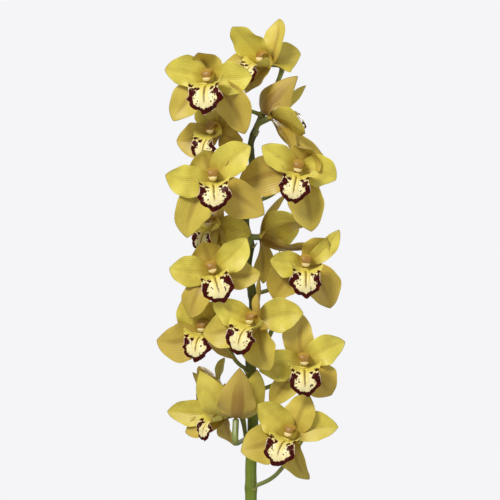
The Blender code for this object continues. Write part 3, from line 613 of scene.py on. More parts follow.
# %% Columns
COLUMN_ROUTE = ((-1.0, -1.0), (3.0, 3.6), (7.5, 7.4), (12.0, 8.6), (15.6, 6.6), (17.2, 2.6))
COLUMN_WIDTH = (4.0, 4.8, 5.6, 6.0, 5.4, 3.4)
COLUMN_DEPTH = (3.4, 3.2, 3.0, 2.8, 2.2, 1.2)
CAP_PLACE = (15.7, 2.2)
CAP_RADII = (4.1, 2.5, 3.4)
COLUMN_SPARE = 0.25
HOOD_TAN = "#B8963C"
HOOD_TIP_SHADE = "#9C722A"
COLUMN_YELLOW = "#D9C252"
HOLLOW_GOLD_AND_SHADE = "#8E6414"
CAP_CREAM = "#F6E8B2"
CAP_SHADE = "#E8CF8E"
COLUMN_ROWS = 26
COLUMN_SIDES = 28


def along_route(points, steps):
    """Points spread evenly in parameter on a Catmull-Rom curve: each stretch is a cubic whose ends slope
    as the line between the neighbours on either side does."""
    points = np.array(points, float)
    ends = np.concatenate([[2 * points[0] - points[1]], points, [2 * points[-1] - points[-2]]])
    x = np.linspace(0.0, 1.0, steps) * (len(points) - 1)
    i = np.minimum(x.astype(int), len(points) - 2)
    f = (x - i)[:, None]
    a, b, c, d = (ends[i + k] for k in range(4))
    return 0.5 * (2 * b + (c - a) * f + (2 * a - 5 * b + 4 * c - d) * f**2
                  + (3 * b - a - 3 * c + d) * f**3)


def column_tube(heart, directions, size):
    """Rings square to the arch, dented below by a bell along the hollow."""
    right, face, up = directions
    route = along_route(COLUMN_ROUTE, COLUMN_ROWS) * size
    widths = along_route(np.array(COLUMN_WIDTH)[:, None], COLUMN_ROWS) * size
    depths = along_route(np.array(COLUMN_DEPTH)[:, None], COLUMN_ROWS) * size
    step = unit(np.gradient(route, axis=0))
    angle, s = around(COLUMN_SIDES), shares(COLUMN_ROWS)
    below = np.clip(-np.sin(angle), 0.0, 1.0)
    dent = 1.0 - 0.9 * below**2 * smooth(s, 0.25, 0.5) * smooth(s, 0.98, 0.8)
    x = widths * np.cos(angle)
    y = depths * np.sin(angle) * dent
    forward = route[:, :1] - step[:, 1:] * y
    rise = route[:, 1:] + step[:, :1] * y
    grid = heart + x[..., None] * right + forward[..., None] * face + rise[..., None] * up
    return grid, {"skin": triple(np.cos(angle), s, np.sin(angle), grid.shape[:2])}


def egg(centre, right, face, up, radii, rows=12, columns=18):
    """A ball with a radius along each of three directions."""
    polar = np.linspace(0.02, np.pi - 0.02, rows)[:, None]
    angle = around(columns)
    x = radii[0] * np.sin(polar) * np.cos(angle)
    y = radii[1] * np.sin(polar) * np.sin(angle)
    z = radii[2] * np.cos(polar) * np.ones_like(angle)
    grid = centre + x[..., None] * right + y[..., None] * face + z[..., None] * up
    return grid, {"skin": triple(0.0, polar / np.pi, 1.0, grid.shape[:2])}


def column_material():
    material, tree, shader = new_material("tan_orchid_column", ior=1.42, roughness=0.4)
    _, s, top = read(tree, "skin")
    hood = mixed(tree, sloped(tree, s, 0.15, 0.55), srgb(COLUMN_YELLOW), srgb(HOOD_TAN))
    # painted shade: the hood is darkened towards its tip
    tip = mixed(tree, sloped(tree, sums(tree, "MULTIPLY_ADD", noise(tree, 2.0), 0.2, s), 0.7, 0.95),
                hood, srgb(HOOD_TIP_SHADE))
    # the hollow under the hood is painted dark gold, partly its own colour and partly painted shade
    deep = sums(tree, "MULTIPLY", sloped(tree, top, -0.25, -0.75), sloped(tree, s, 0.2, 0.45))
    hollow = mixed(tree, deep, tip, srgb(HOLLOW_GOLD_AND_SHADE))
    tree.links.new(hollow, shader.inputs["Base Color"])
    bumped(tree, shader, noise(tree, 0.8), 0.1, 0.6)
    return material


def cap_material():
    material, tree, shader = new_material("cream_pollen_cap", ior=1.42, roughness=0.35)
    cream = mixed(tree, noise(tree, 1.5), srgb(CAP_CREAM), srgb(CAP_SHADE))
    tree.links.new(cream, shader.inputs["Base Color"])
    bumped(tree, shader, noise(tree, 0.7), 0.08, 0.5)
    return material


hood, cap = column_material(), cap_material()
for name, row in FLOWERS.items():
    right, face, up = turns[name]
    size = min(1.0, row[3][0] + COLUMN_SPARE)
    add_piece(name + "_column", [column_tube(hearts[name], turns[name], size)], hood)
    tip = hearts[name] + (face * CAP_PLACE[0] + up * CAP_PLACE[1]) * size
    add_piece(name + "_pollen_cap", [egg(tip, right, face, up, np.array(CAP_RADII) * size)], cap)
print("columns with their caps:", len(FLOWERS))

# %% [markdown]
# ## The stem and the flowers' stalks
# The stem carries every flower on its own stalk, which thickens towards the flower into the ribbed ovary.
# The stem tapers, swells a little at each joint where a stalk leaves, and turns a few degrees there, and a
# small dry scale sits below the stalk. Blender's own curve with a bevel would do for a plain wire. Here the
# ring itself changes along the way, so both are tubes carried along a smooth curve through a few points.

# %% Stem and stalks
BARK_TOP = 150.0
STEM_SUNK = 28.0
STEM_RADIUS = 6.6
STEM_TIP_RADIUS = 2.6
STEM_TOP = 410.0
JOINT_SWELL = 0.7
JOINT_REACH = 4.0
STEM_ROUTE = [
    (1.0, 0.0, 0.0),
    (1.0, 0.0, 35.0),
    (3.0, 0.0, 75.0),
    (1.0, 0.0, 130.0),
    (2.0, 0.0, 165.0),
    (3.5, 0.0, 200.0),
    (-2.5, 0.0, 230.0),
    (0.0, 0.0, 256.0),
    (-4.5, 1.0, 276.0),
    (-2.0, 2.0, 300.0),
    (2.0, 3.0, 335.0),
    (0.5, 4.0, 354.0),
    (6.0, 8.0, 372.0),
    (14.0, 12.0, 390.0),
    (18.0, 14.0, 410.0),
]
HEART_RADIUS = 4.6
STALK_CLEARANCE = 0.6
STALK_KNEE = 0.34
STALK_SPREAD = (0.5, 0.5, 0.28)
STALK_RADIUS = 2.1
STALK_FLARE = 0.9
STALK_ROWS = 34
OVARY_RADIUS = 3.0
OVARY_RIBS = 6
OVARY_TURN = 2.2
SCALE_SIZE = (6.8, 6.0)
FOOT = SPRAY_FOOT * UP
stem_foot = BARK_TOP - STEM_SUNK - SPRAY_FOOT
stem_knots = np.array([(0.0, 0.0, stem_foot), (0.0, 0.0, stem_foot / 2), *STEM_ROUTE])
stem_line = along_route(stem_knots, 420)


def stem_radius(height):
    """Falls with the square of the share of the way up."""
    share = (height - stem_foot) / (STEM_TOP - stem_foot)
    return STEM_RADIUS + (STEM_TIP_RADIUS - STEM_RADIUS) * share**2


def stem_at(height):
    return np.array([np.interp(height, stem_line[:, 2], stem_line[:, i]) for i in range(3)])


def carried(route, radii, columns, ribs=0, rib_depth=0.0, turn=0.0):
    """Rings square to the route. Each ring's own right is the last one's, freed of what points along
    the route, so that the tube doesn't twist; ribs are a cosine round the ring, and turn winds them."""
    step = unit(np.gradient(route, axis=0))
    right = np.cross(step[0], (0.0, 1.0, 0.0) if abs(step[0][1]) < 0.9 else (1.0, 0.0, 0.0))
    rights = []
    for direction in step:
        right = unit(right - direction * (right @ direction))
        rights.append(right)
    rights = np.array(rights)
    fronts = np.cross(step, rights)
    angle, s = around(columns), shares(len(route))
    radii = np.broadcast_to(np.reshape(radii, (-1, 1)), (len(route), 1))
    depth = np.broadcast_to(np.reshape(rib_depth, (-1, 1)), (len(route), 1))
    ring = radii * (1.0 + depth * np.cos(ribs * angle + turn * s))
    grid = (route[:, None] + (ring * np.cos(angle))[..., None] * rights[:, None]
            + (ring * np.sin(angle))[..., None] * fronts[:, None])
    return grid, {"skin": triple(angle / (2 * np.pi), s, ring, grid.shape[:2])}


def stalk_tube(row, face):
    """From the stem outwards, round a knee and straight into the flower's back."""
    at, _, height, _, _ = row
    root = stem_at(height) + FOOT
    back = at + FOOT - face * (HEART_RADIUS + STALK_CLEARANCE)
    knee = back - face * (STALK_KNEE * np.linalg.norm(back - root))
    first = root + (knee - root) * STALK_SPREAD
    route = along_route([root, first, knee, back + face * HEART_RADIUS], STALK_ROWS)
    s = shares(STALK_ROWS)
    ovary = smooth(s, 0.42, 0.7)
    radii = STALK_RADIUS + STALK_FLARE * smooth(s, 0.10, 0.0) + (OVARY_RADIUS - STALK_RADIUS) * ovary
    return carried(route, radii, 24, OVARY_RIBS, 0.09 * ovary, OVARY_TURN)


def scale_tube(root, outward):
    """A small pointed scale that stands off the stem below a stalk: a flattened tube."""
    s, angle = shares(10)[..., None], around(16)[..., None]
    side = unit(np.cross(outward, UP))
    width, height = SCALE_SIZE
    half = width / 2.0 * (1.0 - s) ** 0.7 + 0.15
    line = root + outward * (1.5 + 4.5 * s) + UP * (height * s - 2.5)
    t = np.cos(angle)
    grid = line + side * (t * half) - outward * (1.6 * t**2 * (1 - s)) + outward * (0.3 * np.sin(angle))
    return grid, {"skin": triple(t[..., 0], s[..., 0], 1.0, grid.shape[:2])}


# %% [markdown]
# ## A green stem
# A cymbidium stem is smooth and waxy and bright green low down. Higher up its colour is blended by height to
# a darker olive, which is painted shade where the flowers shade it. Fine fibres run along it, and a noise
# stretched along the stem makes streaks about a millimetre wide.

# %% Stem material and pieces
STEM_GREEN = "#6E7E22"
STEM_PALE = "#879634"
STEM_OLIVE_AND_SHADE = "#4E501C"
STALK_OLIVE = "#86904A"
SCALE_TAN = "#A89A5A"
SHADE_FROM = 470.0
SHADE_TO = 600.0


def stem_material(name, low, high):
    material, tree, shader = new_material(name, ior=1.45, roughness=0.38)
    place = add_node(tree, "TexCoord").outputs["Object"]
    height = add_node(tree, "SeparateXYZ", {0: place}).outputs[2]
    streak = noise(tree, 1.4, 4.0, (1.0, 1.0, 0.05))
    # painted shade: higher up the stem is blended to a darker olive, where the flowers shade it
    body = mixed(tree, sloped(tree, height, SHADE_FROM * MM, SHADE_TO * MM), srgb(low), srgb(high))
    streaked = mixed(tree, sloped(tree, streak, 0.45, 0.75, 0.0, 0.35), body, srgb(STEM_PALE))
    cloudy = mixed(tree, sloped(tree, noise(tree, 14.0), 0.45, 0.75, 0.0, 0.4), streaked, srgb(STEM_OLIVE_AND_SHADE))
    tree.links.new(cloudy, shader.inputs["Base Color"])
    bumped(tree, shader, streak, 0.15, 0.6)
    return material


stem_green = stem_material("waxy_green_stem", STEM_GREEN, STEM_OLIVE_AND_SHADE)
stalk_green = stem_material("olive_flower_stalk", STALK_OLIVE, STALK_OLIVE)
scale_dry = stem_material("dry_tan_scale", SCALE_TAN, SCALE_TAN)
joint_heights = np.array([row[2] for row in FLOWERS.values()], float)
swell = np.exp(-(((stem_line[:, 2:] - joint_heights[None, :]) / JOINT_REACH) ** 2)).max(axis=1)
stem_grid = carried(stem_line + FOOT, stem_radius(stem_line[:, 2]) + JOINT_SWELL * swell, 36, 9, 0.012)
add_piece("stem", [stem_grid], stem_green, ["flower_stem"])
scales = []
for name, row in FLOWERS.items():
    add_piece(name + "_stalk", [stalk_tube(row, turns[name][1])], stalk_green)
    root = stem_at(row[2]) + FOOT
    outward = unit((hearts[name] - root) * (1.0, 1.0, 0.0))
    scales.append(scale_tube(root + outward * (stem_radius(row[2]) - 1.5), outward))
add_piece("stem_scales", scales, scale_dry)
print("stem", round(float(STEM_TOP - stem_foot)), "mm long with", len(scales), "stalks")

# %% [markdown]
# ## Sheaths round the bare stem
# Before the spray opened, papery bracts wrapped it. They dry to straw and stay, each a cone wound most of
# the way round the stem and opening to a point. A flat sheet rolled up with a modifier would need its edge
# trimmed, so the sheet is laid round the stem by angle, and the angle narrows towards the point.

# %% Sheaths
SHEATH_LENGTH = 62.0
SHEATH_THICKNESS = 0.8
SHEATH_FLARE = 3.0
SHEATH_WRAP = 2.7
GAP = 0.3
SHEATHS = {"sheath_1": (12.0, 40.0), "sheath_2": (92.0, 215.0), "sheath_3": (172.0, 0.0)}
STRAW = "#C6B67C"
STRAW_BROWN = "#8C7440"
STRAW_GREEN = "#9AA05A"
STRAW_TIP = "#7A5A30"


def sheath_tube(rise, side):
    """At a share s up, the ring covers the angle t times the wrap, which narrows as s to the 1.5."""
    foot = BARK_TOP + rise
    s, angle = shares(30), around(72)
    t, front = np.cos(angle), np.sin(angle)
    inner = stem_radius(foot - SPRAY_FOOT) + GAP + SHEATH_THICKNESS
    wrap = t * SHEATH_WRAP * np.maximum(1.0 - 0.75 * s**1.5 - 0.2 * s**8, 0.03) + np.radians(side)
    ribs = 0.12 * np.cos(16.0 * np.pi * t)
    radius = inner + SHEATH_FLARE * s**2 + ribs + 0.35 * front * (1.0 - 0.4 * s)
    height = foot + SHEATH_LENGTH * (s + 0.05 * s**6 * (1.0 - t**2))
    axis = stem_at(foot - SPRAY_FOOT)
    grid = points_at(axis[0] + radius * np.sin(wrap), axis[1] - radius * np.cos(wrap), height)
    return grid, {"skin": triple(t, s, front, grid.shape[:2])}


def straw_material():
    material, tree, shader = new_material("papery_straw_sheath", ior=1.4, roughness=0.65)
    s = read(tree, "skin")[1]
    fibre = noise(tree, 1.3, 4.0, (1.0, 1.0, 0.04))
    body = mixed(tree, fibre, srgb(STRAW), srgb(STRAW_BROWN))
    green = mixed(tree, sloped(tree, s, 0.4, 0.0, 0.0, 0.5), body, srgb(STRAW_GREEN))
    dry = mixed(tree, sloped(tree, s, 0.75, 1.0, 0.0, 0.7), green, srgb(STRAW_TIP))
    tree.links.new(dry, shader.inputs["Base Color"])
    bumped(tree, shader, fibre, 0.25, 0.8)
    return material


straw = straw_material()
for name, (rise, side) in SHEATHS.items():
    add_piece(name + "_bract", [sheath_tube(rise, side)], straw, [name])
print(len(SHEATHS), "sheaths")

# %% [markdown]
# ## Pseudobulbs
# A pseudobulb is a swollen stem that stores water. It is an egg on its thick end, ringed where old leaves
# sat and finely ribbed as it shrinks, and green, with the rib crests painted yellow, partly their own colour
# and partly painted highlight. A scaled sphere would have no ribs, so the radius is worked out from the
# height and from the angle round the bulb.

# %% Pseudobulbs
BULB_HEIGHT = 62.0
BULB_RADIUS = 20.0
BULB_SUNK = 20.0
BULB_MIDDLE = 0.93
BULB_TAPER = 0.175
BULB_RIBS = 18
BULBS = {"pseudobulb_1": (-35.0, 4.0), "pseudobulb_2": (36.0, 10.0), "pseudobulb_3": (0.0, 43.0)}
BULB_GREEN = "#7D8B3C"
BULB_DARK = "#515E24"
BULB_YELLOW_AND_HIGHLIGHT = "#B3AE5C"
bulb_base = BARK_TOP - BULB_SUNK
bulb_top = bulb_base + BULB_HEIGHT


def bulb_radius(height):
    """An ellipse in the height, times a taper that is straight from foot to top."""
    c = np.clip((height - bulb_base) / BULB_HEIGHT * 2.0 - 1.0, -1.0, 1.0)
    return BULB_RADIUS * (BULB_MIDDLE - BULB_TAPER * c) * np.sqrt(1.0 - c * c)


def bulb_tube(foot):
    """Rings at even polar angles; ribs are a cosine round each and old leaf rings a sine up the bulb."""
    polar = np.linspace(0.03, np.pi - 0.03, 44)[:, None]
    angle = around(72)
    c = -np.cos(polar)
    height = bulb_base + BULB_HEIGHT * (c + 1.0) / 2.0
    ribs = 1.0 - 0.018 * (1.0 + np.cos(BULB_RIBS * angle + 0.8 * np.sin(3.0 * angle)))
    rings = 1.0 - 0.02 * smooth(np.sin(15.0 * c + 0.6), 0.7, 1.0)
    radius = BULB_RADIUS * (BULB_MIDDLE - BULB_TAPER * c) * np.sin(polar) * ribs * rings
    grid = points_at(foot[0] + radius * np.cos(angle), foot[1] + radius * np.sin(angle), height)
    return grid, {"skin": triple(np.cos(BULB_RIBS * angle), c, rings, grid.shape[:2])}


def bulb_material():
    material, tree, shader = new_material("ribbed_green_pseudobulb", ior=1.45, roughness=0.45)
    rib = read(tree, "skin")[0]
    body = mixed(tree, noise(tree, 9.0), srgb(BULB_GREEN), srgb(BULB_DARK))
    # the rib crests are painted yellow, partly their own colour and partly painted highlight
    lit = mixed(tree, sloped(tree, rib, 0.2, -1.0, 0.0, 0.4), body, srgb(BULB_YELLOW_AND_HIGHLIGHT))
    streak = noise(tree, 1.5, 4.0, (1.0, 1.0, 0.08))
    streaked = mixed(tree, sloped(tree, streak, 0.5, 0.8, 0.0, 0.5), lit, srgb(BULB_DARK))
    tree.links.new(streaked, shader.inputs["Base Color"])
    bumped(tree, shader, streak, 0.25, 0.7)
    return material


bulb_green = bulb_material()
for name, foot in BULBS.items():
    add_piece(name + "_ribbed", [bulb_tube(foot)], bulb_green, [name])
print(len(BULBS), "pseudobulbs", BULB_HEIGHT, "mm tall")

# %% [markdown]
# ## Strap leaves
# A cymbidium leaf starts as a broad base clasped round its bulb, narrows where it leaves it, and goes on as
# a long strap folded into a shallow V. It rises steeply and arches over as its slope falls along its
# length. Base and blade are one sheet here, so the leaf has no seam where it leaves the bulb.

# %% Leaves
LEAF_WIDTH = 21.0
LEAF_BASE_WIDTH = 6.0
LEAF_THICKNESS = 1.1
LEAF_FOLD = 0.40
LEAF_RING = 8.5
LEAF_LIFT = 3.0
LEAF_ARCH = 1.35
LEAF_FULL_WIDTH_AT = 0.35
LEAF_POINT_FROM = 0.72
LEAF_BASE_ROWS = 22
LEAF_ROWS = 90
LEAF_COLUMNS = 28
CLASP = 1.15
CLASP_FOOT = 14.0
LEAVES = {
    "leaf_01": ("pseudobulb_1", 210.0, 430.0, 77.0, -62.0),
    "leaf_02": ("pseudobulb_1", 262.0, 360.0, 72.0, -66.0),
    "leaf_03": ("pseudobulb_1", 150.0, 420.0, 78.0, -58.0),
    "leaf_04": ("pseudobulb_2", 345.0, 440.0, 78.0, -60.0),
    "leaf_05": ("pseudobulb_2", 285.0, 340.0, 70.0, -70.0),
    "leaf_06": ("pseudobulb_2", 35.0, 410.0, 77.0, -56.0),
    "leaf_07": ("pseudobulb_3", 50.0, 390.0, 77.0, -58.0),
    "leaf_08": ("pseudobulb_3", 102.0, 420.0, 78.0, -60.0),
    "leaf_09": ("pseudobulb_3", 160.0, 400.0, 77.0, -58.0),
}
LEAF_GREEN = "#3F6322"
LEAF_DARK = "#28481A"
LEAF_RIB = "#7D9440"
LEAF_STRAW = "#A8A462"
LEAF_TIP = "#8A6A34"


def leaf_tube(layer, bulb, azimuth, length, first_slope, last_slope):
    """The blade's line is the sum of small steps at its falling slope. The V adds fold times the distance
    from the rib. The base wraps the bulb's own radius by an angle, and a soft step leads from one to
    the other."""
    turn = np.radians(azimuth)
    out = np.array([np.cos(turn), np.sin(turn), 0.0])
    side = np.array([-np.sin(turn), np.cos(turn), 0.0])
    start = np.array([*BULBS[bulb], bulb_top + LEAF_LIFT]) + out * LEAF_RING
    fine = np.linspace(0.0, 1.0, 401)
    slope = np.radians(first_slope + (last_slope - first_slope) * fine**LEAF_ARCH)
    reach, rise = walked(length, slope)
    s, angle = shares(LEAF_ROWS, 1.1), around(LEAF_COLUMNS)
    t, front = np.cos(angle), np.sin(angle)
    bend = np.interp(s, fine, slope)
    line = start + np.interp(s, fine, reach)[..., None] * out + np.interp(s, fine, rise)[..., None] * UP
    normal = -np.sin(bend)[..., None] * out + np.cos(bend)[..., None] * UP
    grow = np.clip(s / LEAF_FULL_WIDTH_AT, 0.0, 1.0)
    half = (LEAF_BASE_WIDTH + (LEAF_WIDTH - LEAF_BASE_WIDTH) * grow) / 2.0
    point = np.clip((s - LEAF_POINT_FROM) / (1.01 - LEAF_POINT_FROM), 0.0, 1.0)
    half = half * np.sqrt(1.0 - point**2)
    fold = LEAF_FOLD * (1.0 + 0.5 * (1.0 - s) ** 3)
    phase = chance.uniform(0.0, 6.3)
    wave = 0.7 * np.sin(2 * np.pi * 3.0 * s + phase + np.sign(t)) * np.abs(t) ** 2 * smooth(s, 0.1, 0.3)
    pleat = 0.10 * np.cos(8.0 * np.pi * np.abs(t))
    lift = fold * np.abs(t) * half + wave + pleat * half / 10.0 + front * LEAF_THICKNESS / 2
    blade = line + (t * half)[..., None] * side + lift[..., None] * normal
    k = np.linspace(0.0, 1.0, LEAF_BASE_ROWS, endpoint=False)[:, None]
    height = bulb_base + CLASP_FOOT + (bulb_top + LEAF_LIFT - bulb_base - CLASP_FOOT) * k
    clasp = t * CLASP * (1.0 - 0.35 * k) + turn
    radius = np.maximum(bulb_radius(height), LEAF_RING * 0.8) + 0.9 + 1.1 * layer + 0.45 * front
    middle = BULBS[bulb]
    wrapped = points_at(middle[0] + radius * np.cos(clasp), middle[1] + radius * np.sin(clasp), height)
    towards = smooth(k, 0.45, 1.0)[..., None]
    straight = blade[:1] - (12.0 * (1.0 - k))[..., None] * UP
    base = wrapped * (1.0 - towards) + straight * towards
    grid = np.concatenate([base, blade])
    return grid, {"skin": triple(t, np.concatenate([k - 1.0, s]), front, grid.shape[:2])}


def leaf_material():
    material, tree, shader = new_material("satin_green_leaf", ior=1.45, roughness=0.36)
    t, s, front = read(tree, "skin")
    body = mixed(tree, noise(tree, 22.0, 3.0, (1.0, 1.0, 0.4)), srgb(LEAF_GREEN), srgb(LEAF_DARK))
    vein = sums(tree, "SINE", sums(tree, "MULTIPLY", t, 16.0 * np.pi))
    veined = mixed(tree, sloped(tree, vein, 0.4, 1.0, 0.0, 0.22), body, srgb(LEAF_RIB))
    middle = sloped(tree, sums(tree, "ABSOLUTE", t), 0.09, 0.02, 0.0, 0.55)
    ribbed = mixed(tree, middle, veined, srgb(LEAF_RIB))
    under = mixed(tree, sloped(tree, front, 0.0, -0.3, 0.0, 0.35), ribbed, srgb(LEAF_RIB))
    foot = mixed(tree, sloped(tree, s, 0.04, -0.5, 0.0, 0.85), under, srgb(LEAF_STRAW))
    tip = mixed(tree, sloped(tree, s, 0.975, 1.0, 0.0, 0.8), foot, srgb(LEAF_TIP))
    tree.links.new(tip, shader.inputs["Base Color"])
    bumped(tree, shader, sums(tree, "MULTIPLY_ADD", vein, 0.5, noise(tree, 1.5)), 0.12, 0.6)
    return material


leaf_green = leaf_material()
for order, (name, row) in enumerate(LEAVES.items()):
    add_piece(name + "_strap", [leaf_tube(order % 3, *row)], leaf_green, [name])
print(len(LEAVES), "leaves up to", max(row[2] for row in LEAVES.values()), "mm long")

# %% [markdown]
# ## Bark
# Orchids grow in coarse fir bark, chips of 8 to 18 mm that let air in to the roots. A bumpy surface would
# look flat from the side, and chips dropped by a simulation would take minutes. So some hundreds of flat
# chips are laid on a dark bed, each a rounded block of few faces, turned and tinted by chance.

# %% Bark
POT_HEIGHT = 170.0
POT_FOOT_RADIUS = 66.0
POT_RIM_RADIUS = 92.0
POT_WALL = 6.0
POT_FLOOR = 8.0
AXIS_RADIUS = 0.4
BARK_DOME = 3.0
BED_DEPTH = 4.0
BED_SHOULDER = 45.0
BED_GAP = 1.0
CHIPS = 460
CHIP_LENGTH = (8.0, 18.0)
CHIP_THICKNESS = (3.0, 5.5)
CHIP_SHARES = (0.0, 0.12, 0.5, 0.88, 1.0)
CHIP_SWELL = (0.55, 0.95, 1.0, 0.92, 0.5)
CHIP_SIDES = 8
CHIP_TILT = 16.0
BARK_RED = "#7A4E30"
BARK_BROWN = "#4E3220"
BARK_GREY = "#9A7A5C"


def pot_radius(height):
    """The pot widens evenly from its foot to its rim."""
    return POT_FOOT_RADIUS + (POT_RIM_RADIUS - POT_FOOT_RADIUS) * height / POT_HEIGHT


def turned(profile, columns, attribute=0.0):
    """A closed solid of revolution: every point of the outline (radius, height) becomes a ring."""
    profile = np.array(profile, float)
    angle = around(columns)
    radius, height = profile[:, :1], profile[:, 1:]
    grid = points_at(radius * np.cos(angle), radius * np.sin(angle), height)
    return grid, {"skin": triple(radius, height, attribute, grid.shape[:2])}


def chip_tube(place, size, tone):
    """A block with rounded sides: a superellipse ring whose size swells and falls along the chip, turned
    by three angles chosen by chance."""
    s = np.array(CHIP_SHARES)[:, None]
    angle = around(CHIP_SIDES) + chance.uniform(0, 0.7)
    swell = np.array(CHIP_SWELL)[:, None] * chance.uniform(0.85, 1.12, (len(CHIP_SHARES), CHIP_SIDES))
    a, b, c = np.radians([chance.uniform(0, 360), chance.normal(0, CHIP_TILT), chance.normal(0, CHIP_TILT)])
    x = (s - 0.5) * size[0]
    y = swell * np.sign(np.cos(angle)) * np.abs(np.cos(angle)) ** 0.7 * size[1] / 2
    z = swell * np.sign(np.sin(angle)) * np.abs(np.sin(angle)) ** 0.7 * size[2] / 2
    x, z = x * np.cos(b) - z * np.sin(b), x * np.sin(b) + z * np.cos(b)
    y, z = y * np.cos(c) - z * np.sin(c), y * np.sin(c) + z * np.cos(c)
    x, y = x * np.cos(a) - y * np.sin(a), x * np.sin(a) + y * np.cos(a)
    grid = np.stack([x, y, z], axis=-1) + place
    return grid, {"skin": triple(tone, 0.0, 0.0, grid.shape[:2])}


def bark_material():
    material, tree, shader = new_material("fir_bark", ior=1.45, roughness=0.85)
    tone = read(tree, "skin")[0]
    grain = noise(tree, 2.0, 6.0)
    body = mixed(tree, sloped(tree, tone, 0.0, 1.0), srgb(BARK_BROWN), srgb(BARK_RED))
    grained = mixed(tree, sloped(tree, grain, 0.5, 0.75, 0.0, 0.6), body, srgb(BARK_GREY))
    tree.links.new(grained, shader.inputs["Base Color"])
    bumped(tree, shader, grain, 0.6, 1.0)
    return material


bark = bark_material()
bed_radius = pot_radius(BARK_TOP) - POT_WALL - BED_GAP
bed_top, bed_foot = BARK_TOP - BED_DEPTH, POT_FLOOR + BED_GAP
bed_outline = [(AXIS_RADIUS, bed_top + BARK_DOME), (BED_SHOULDER, bed_top + BARK_DOME * 0.7),
               (bed_radius, bed_top), (pot_radius(12.0) - POT_WALL - BED_GAP, bed_foot),
               (AXIS_RADIUS, bed_foot)]
add_piece("bark_bed", [turned(bed_outline, 72)], bark, ["potting_bark"])
standing = [(0.0, 0.0, STEM_RADIUS + 2.0), *[(*foot, BULB_RADIUS + 1.5) for foot in BULBS.values()]]
chips = []
while len(chips) < CHIPS:
    distance, way = np.sqrt(chance.uniform()) * (bed_radius - 8.0), chance.uniform(0, 2 * np.pi)
    spot = np.array([distance * np.cos(way), distance * np.sin(way)])
    length = chance.uniform(*CHIP_LENGTH)
    if all(np.hypot(*(spot - (x, y))) > room + length * 0.3 for x, y, room in standing):
        rise = BARK_TOP - 2.0 + BARK_DOME * (1.0 - distance / bed_radius) + chance.uniform(-2.5, 1.5)
        size = (length, length * chance.uniform(0.5, 0.8), chance.uniform(*CHIP_THICKNESS))
        chips.append(chip_tube(np.array([*spot, rise]), size, chance.uniform()))
add_piece("bark_chips", chips, bark)
print(len(chips), "chips of bark")

# %% [markdown]
# ## The pot
# The pot is thrown on a wheel, so its shape is one outline turned about its axis: a foot, a widening
# wall, a rim band with rounded lips and a hollow inside. Its glaze is off-white, thin on the edges where
# the clay shows warm, and has fine iron specks. The drain holes are cut through the floor.

# %% Pot
RIM_BAND_HEIGHT = 22.0
RIM_BAND_PROUD = 3.5
DRAIN_HOLE_RADIUS = 5.0
DRAIN_HOLE_RING = 36.0
DRAIN_HOLES = 3
RIM_ROUND = 3.0
BAND_ROUND = 2.0
FOOT_ROUND = 2.2
THIN_GLAZE = 1.6
BARE_FOOT = 0.6
GLAZE = "#ECEAE3"
GLAZE_WARM = "#D8CDB8"
CLAY = "#B98A66"
SPECK = "#8A7A66"


def arc(centre, radius, first, last, steps):
    """Points on a circle of the outline from one angle to another."""
    angle = np.radians(np.linspace(first, last, steps))
    return [(centre[0] + radius * np.cos(a), centre[1] + radius * np.sin(a)) for a in angle]


def pot_outline():
    """Up the inside from the middle of the floor, over the rim, down the band and the wall to the foot."""
    band = POT_HEIGHT - RIM_BAND_HEIGHT
    inner, outer = POT_RIM_RADIUS - POT_WALL, POT_RIM_RADIUS + RIM_BAND_PROUD
    low = pot_radius(POT_FLOOR) - POT_WALL
    fall = np.linspace(0.15, 0.85, 4)
    wall = [(pot_radius(h), h) for h in np.linspace(band - 2.5, 3.0, 24)]
    floor = [(r, POT_FLOOR) for r in np.linspace(AXIS_RADIUS, low - 6.0, 6)]
    inside = [(pot_radius(h) - POT_WALL, h) for h in np.linspace(POT_FLOOR + 6.0, POT_HEIGHT - 4.0, 20)]
    top = POT_HEIGHT - RIM_ROUND
    rim = arc((inner + RIM_ROUND, top), RIM_ROUND, 180, 90, 6)
    rim += arc((outer - RIM_ROUND, top), RIM_ROUND, 90, 0, 6)
    proud = pot_radius(band) + RIM_BAND_PROUD
    heights = top + (band + BAND_ROUND + 0.5 - top) * fall
    band_side = list(zip(outer + (proud - outer) * fall, heights))
    under = arc((proud - BAND_ROUND, band + BAND_ROUND), BAND_ROUND, 0, -90, 5)
    foot = arc((pot_radius(2.0) - FOOT_ROUND, FOOT_ROUND), FOOT_ROUND, 0, -90, 5)
    base = [(r, 0.0) for r in np.linspace(POT_FOOT_RADIUS - 8.0, AXIS_RADIUS, 6)]
    return floor + [(low - 2.0, POT_FLOOR + 1.5)] + inside + rim + band_side + under + wall + foot + base


def glaze_material():
    material, tree, shader = new_material("off_white_glaze", ior=1.5, roughness=0.16)
    place = add_node(tree, "TexCoord").outputs["Object"]
    height = sums(tree, "DIVIDE", add_node(tree, "SeparateXYZ", {0: place}).outputs[2], MM)
    warmth = sloped(tree, noise(tree, 45.0), 0.4, 0.75, 0.0, 0.35)
    body = mixed(tree, warmth, srgb(GLAZE), srgb(GLAZE_WARM))
    specks = mixed(tree, sloped(tree, noise(tree, 1.1, 2.0), 0.70, 0.76, 0.0, 0.7), body, srgb(SPECK))
    thin = sloped(tree, height, POT_HEIGHT - THIN_GLAZE, POT_HEIGHT, 0.0, 0.45)
    worn = mixed(tree, thin, specks, srgb(CLAY))
    bare = mixed(tree, sloped(tree, height, THIN_GLAZE, BARE_FOOT), worn, srgb(CLAY))
    tree.links.new(bare, shader.inputs["Base Color"])
    tree.links.new(sloped(tree, height, THIN_GLAZE, BARE_FOOT, 0.16, 0.8), shader.inputs["Roughness"])
    bumped(tree, shader, noise(tree, 18.0), 0.5, 0.5)
    return material


